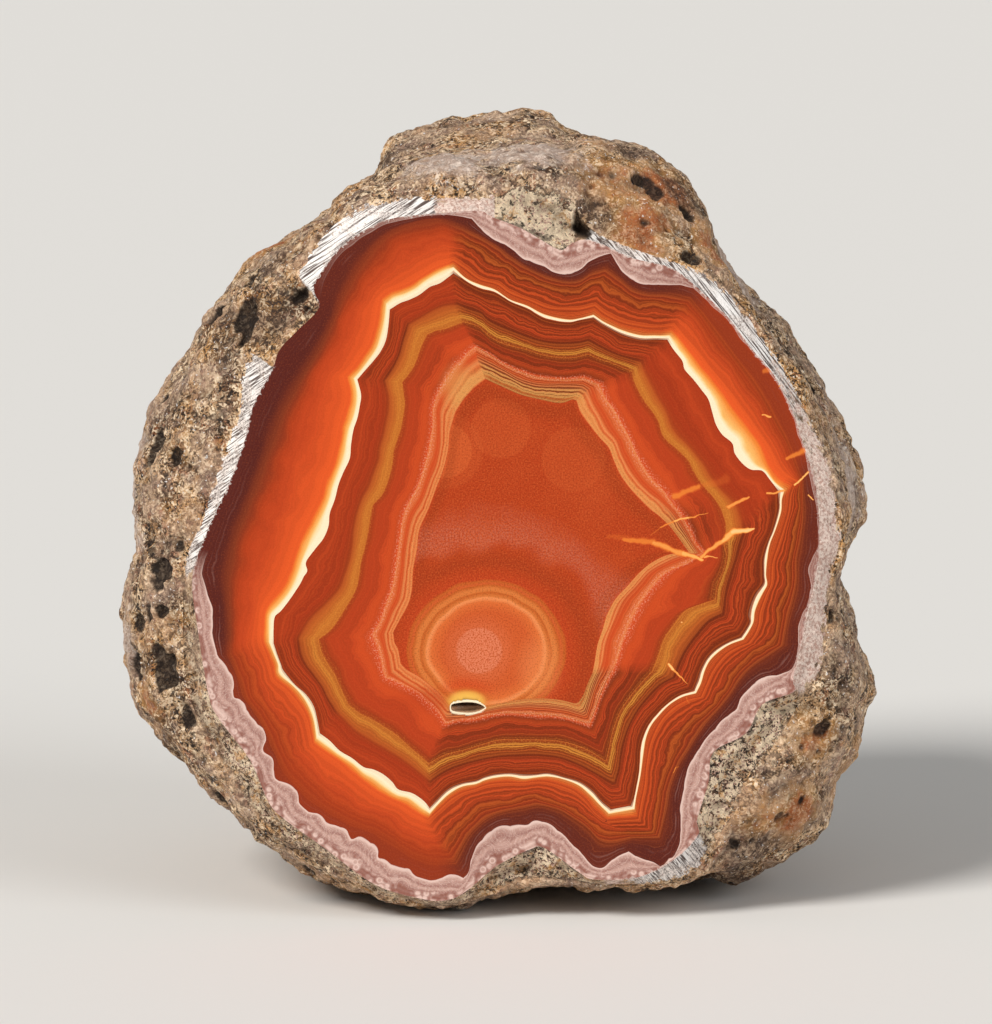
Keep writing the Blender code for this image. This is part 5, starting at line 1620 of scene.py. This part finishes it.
def make_bevel(colours, rind):
    """The ground bevel: straight from the cut's edge to the rind's first ring, with fine relief
    that fades to nothing at both edges by the sine of the share of the way across."""
    angles = column_angles()
    edge = radius_by_angle(CUT_EDGE, angles)
    inner = np.stack((edge * np.cos(angles), edge * np.sin(angles), 0 * edge), axis=1)
    outer = rind[0]
    share = np.linspace(0.0, 1.0, BEVEL_RINGS + 1)[:, None, None]
    grid = inner + (outer - inner) * share
    ground, sugar, cream, _ = bevel_looks(angles)
    rough, crease_shade = fine_relief(grid)
    window = np.sin(share[..., 0] * pi) ** 0.6
    loose = np.clip(1.0 - ground - 0.4 * sugar, GROUND_RELIEF, 1.0)
    strength = BEVEL_RELIEF + HOST_RELIEF * cream
    grid[..., 2] += (HOST_SETBACK * cream - strength * rough) * window * loose
    hole_shade = np.zeros(grid.shape[:-1])
    for right, up, reach, deep in BEVEL_HOLES:
        away = np.hypot(grid[..., 0] - right, grid[..., 1] - up) / reach
        dip = held(1.1 - away**2 + 0.9 * lattice_noise(grid, 0.6, CELL_SEED + 30))
        grid[..., 2] += deep * dip * window
        hole_shade = np.maximum(hole_shade, held(2.5 * dip))
    grid[..., 2] = np.maximum(grid[..., 2], 0.01 * share[..., 0])
    points = grid.reshape(-1, 3)
    quads, fans = grid_faces(BEVEL_RINGS + 1, COLUMNS, None, None)
    spread = wrapped_uv(BEVEL_RINGS + 1, COLUMNS, None, None, np.linspace(0.0, 1.0, BEVEL_RINGS + 1))
    kept = {
        key: np.tile(values, BEVEL_RINGS + 1)
        for key, values in (("ground", ground), ("sugar", sugar), ("cream", cream))
    }
    # Painted shade in the creases and holes, kept on the mesh.
    kept["crease_shade"] = np.maximum(crease_shade * window * loose, 1.6 * hole_shade * window).ravel()
    kept["dark"] = patches(grid, DARK_PATCHES).ravel()
    maps = {"OFBake": spread}
    look = bevel_look(colours)
    return make_piece("ground_bevel", points, quads, fans, maps, kept, look, "nodule")


def make_rind(colours):
    """The rind as three pieces, front, middle and back, cut from one grid so that they meet."""
    grid, hollow, crease_shade = rough_rind()
    material = rind_look(colours)
    rust = patches(grid, RUST_PATCHES)
    grey = patches(grid, GREY_PATCHES)
    dark = patches(grid, DARK_PATCHES)
    first = 0
    for name, rings in zip(("rind_front", "rind_middle", "rind_back"), RIND_RINGS):
        last = name == "rind_back"
        stop = first + rings + (0 if last else 1)
        part = grid[first:stop]
        count = len(part)
        points = part.reshape(-1, 3)
        pole = None
        values = [layer[first:stop].ravel() for layer in (hollow, crease_shade, rust, grey, dark)]
        if last:
            pole = len(points)
            points = np.vstack((points, part[-1].mean(axis=0)))
            values = [np.append(layer, layer[-1]) for layer in values]
        quads, fans = grid_faces(count, COLUMNS, None, pole)
        rows = np.linspace(0.0, 1.0 - (1.0 / count if last else 0.0), count)
        maps = {"OFBake": wrapped_uv(count, COLUMNS, None, pole, rows)}
        kept = dict(zip(("hollow", "crease_shade", "rust", "grey", "dark"), values))
        make_piece(name, points, quads, fans, maps, kept, material, "nodule")
        first += rings
    return grid


def make_crystals(colours):
    """The lined hollow: a rim just proud of the cut that turns into a bowl of small crystals. The
    bowl's plan shrinks by the cosine of an angle while its depth grows by the sine."""
    turn = -np.linspace(0.0, 2 * pi, VUG_SPOKES, endpoint=False)
    share = np.linspace(0.0, 1.0, VUG_RINGS, endpoint=False)[:, None]
    rim = np.array(VUG_RIM)
    space = np.array(VUG_SPACE)
    outer = held(share / VUG_LIP)
    inner = held((share - VUG_LIP) / (1 - VUG_LIP)) * pi / 2
    half = rim + (space - rim) * outer[..., None]
    plan = half * np.cos(inner)[..., None] * vug_plan(turn) + np.array(VUG_MIDDLE)
    depth = -RIM_LIFT * np.sin(outer * pi) + RIM_TUCK * (1 - outer) + VUG_DEPTH * np.sin(inner)
    depth = np.broadcast_to(depth, plan.shape[:-1])
    grid = np.concatenate((plan, depth[..., None]), axis=-1)
    bumps = cell_distance(grid, CRYSTAL_SIZE, CELL_SEED) - 0.5
    grid[..., 2] += CRYSTAL_HEIGHT * bumps * np.sin(inner * 2) ** 0.5
    grid = grid[::-1]
    points = np.vstack((grid.reshape(-1, 3), (*VUG_MIDDLE, VUG_DEPTH)))
    pole = len(points) - 1
    quads, fans = grid_faces(VUG_RINGS, VUG_SPOKES, pole, None)
    rows = np.linspace(1.0 / VUG_RINGS, 1.0, VUG_RINGS)
    maps = {"OFBake": wrapped_uv(VUG_RINGS, VUG_SPOKES, pole, None, rows)}
    look = crystal_look(colours)
    return make_piece(
        "crystal_lining", points, quads, fans, maps, {}, look, "vug_crust"
    )


def soft_light(name, place, width, power, colour):
    """A wide even light from far away, aimed from this direction."""
    lamp = bpy.data.lights.new(name, "SUN")
    lamp.energy = power
    lamp.angle = width
    lamp.color = colour
    made = bpy.data.objects.new(name, lamp)
    made.location = place
    made.rotation_euler = (-Vector(place)).to_track_quat("-Z", "Y").to_euler()
    bpy.context.scene.collection.objects.link(made)
    return made


def make_stage(sizes):
    """A plain pale floor, an even sky, two soft lights, and the camera in front of the cut."""
    scene = bpy.context.scene
    half = sizes.floor
    mesh = bpy.data.meshes.new("floor")
    corners = [(-half, -half, 0), (half, -half, 0), (half, half, 0), (-half, half, 0)]
    mesh.from_pydata(corners, [], [(0, 1, 2, 3)])
    floor = bpy.data.objects.new("floor", mesh)
    scene.collection.objects.link(floor)
    material = bpy.data.materials.new("floor")
    material.use_nodes = True
    shader = material.node_tree.nodes["Principled BSDF"]
    shader.inputs["Base Color"].default_value = (0.8, 0.79, 0.77, 1.0)
    shader.inputs["Roughness"].default_value = 0.9
    shader.inputs["Specular IOR Level"].default_value = 0.1
    mesh.materials.append(material)

    world = bpy.data.worlds.new("studio")
    world.use_nodes = True
    world.node_tree.nodes["Background"].inputs["Color"].default_value = (1.0, 0.99, 0.97, 1.0)
    world.node_tree.nodes["Background"].inputs["Strength"].default_value = sizes.sky
    scene.world = world
    scene.view_settings.view_transform = "Standard"

    key = soft_light("key", KEY_PLACE, radians(22.0), sizes.key, (1.0, 0.97, 0.93))
    fill = soft_light("fill", FILL_PLACE, radians(40.0), sizes.fill, (0.96, 0.98, 1.0))

    lens = bpy.data.cameras.new("camera")
    lens.sensor_width = SENSOR
    lens.lens = SENSOR * CAMERA_AWAY / (PHOTO_SIZE[1] * PIXEL)
    lens.clip_start = 0.05
    lens.clip_end = 30.0
    camera = bpy.data.objects.new("camera", lens)
    back = Vector((0.0, np.cos(CUT_LEAN), -np.sin(CUT_LEAN)))
    camera.location = (Vector(CUT_MIDDLE) - back * CAMERA_AWAY) * MM
    camera.rotation_euler = (pi / 2 - CUT_LEAN, 0.0, 0.0)
    scene.collection.objects.link(camera)
    scene.camera = camera


class AgateSizes(bpy.types.PropertyGroup):
    """Sizes of the small hollow."""

    vug_depth: bpy.props.FloatProperty(
        name="Hollow", description="Depth of the small hollow in the cut", default=0.0021,
        unit="LENGTH",
    )


class AGATE_OT_polished_cut(bpy.types.Operator):
    """Make the flat polished cut with its bands"""

    bl_idname = "agate.polished_cut"
    bl_label = "Polished cut"

    def execute(self, context):
        make_cut(context.scene.agate_colours, context.scene.agate_sizes)
        return {"FINISHED"}


class AGATE_OT_rind(bpy.types.Operator):
    """Make the rough rind and the ground bevel that joins it to the cut"""

    bl_idname = "agate.rind"
    bl_label = "Rind and bevel"

    def execute(self, context):
        grid = make_rind(context.scene.rind_colours)
        make_bevel(context.scene.rind_colours, grid)
        return {"FINISHED"}


class AGATE_OT_crystals(bpy.types.Operator):
    """Make the small hollow lined with crystals"""

    bl_idname = "agate.crystals"
    bl_label = "Crystals"

    def execute(self, context):
        make_crystals(context.scene.rind_colours)
        return {"FINISHED"}


class AGATE_OT_stage(bpy.types.Operator):
    """Make the floor, the lights and the camera"""

    bl_idname = "agate.stage"
    bl_label = "Stage"

    def execute(self, context):
        make_stage(context.scene.agate_stage)
        return {"FINISHED"}


class AGATE_PT_panel(bpy.types.Panel):
    """Buttons that make the nodule's pieces"""

    bl_label = "Agate nodule"
    bl_idname = "AGATE_PT_panel"
    bl_space_type = "VIEW_3D"
    bl_region_type = "UI"
    bl_category = "Agate"

    def draw(self, context):
        for operator in OPERATORS:
            self.layout.operator(operator.bl_idname)


OPERATORS = (AGATE_OT_polished_cut, AGATE_OT_rind, AGATE_OT_crystals, AGATE_OT_stage)
SETTINGS = {
    "agate_colours": AgateColours,
    "rind_colours": RindColours,
    "agate_sizes": AgateSizes,
    "agate_stage": StageSizes,
}


def register():
    """Adds the settings, the operators and the panel."""
    for group in SETTINGS.values():
        bpy.utils.register_class(group)
    for name, group in SETTINGS.items():
        setattr(bpy.types.Scene, name, bpy.props.PointerProperty(type=group))
    for operator in OPERATORS:
        bpy.utils.register_class(operator)
    bpy.utils.register_class(AGATE_PT_panel)


def unregister():
    """Takes them away again."""
    bpy.utils.unregister_class(AGATE_PT_panel)
    for operator in reversed(OPERATORS):
        bpy.utils.unregister_class(operator)
    for name in SETTINGS:
        delattr(bpy.types.Scene, name)
    for group in reversed(SETTINGS.values()):
        bpy.utils.unregister_class(group)


def main():
    """Makes every piece and the stage."""
    register()
    bpy.ops.agate.polished_cut()
    bpy.ops.agate.rind()
    bpy.ops.agate.crystals()
    bpy.ops.agate.stage()


if __name__ == "__main__":
    main()
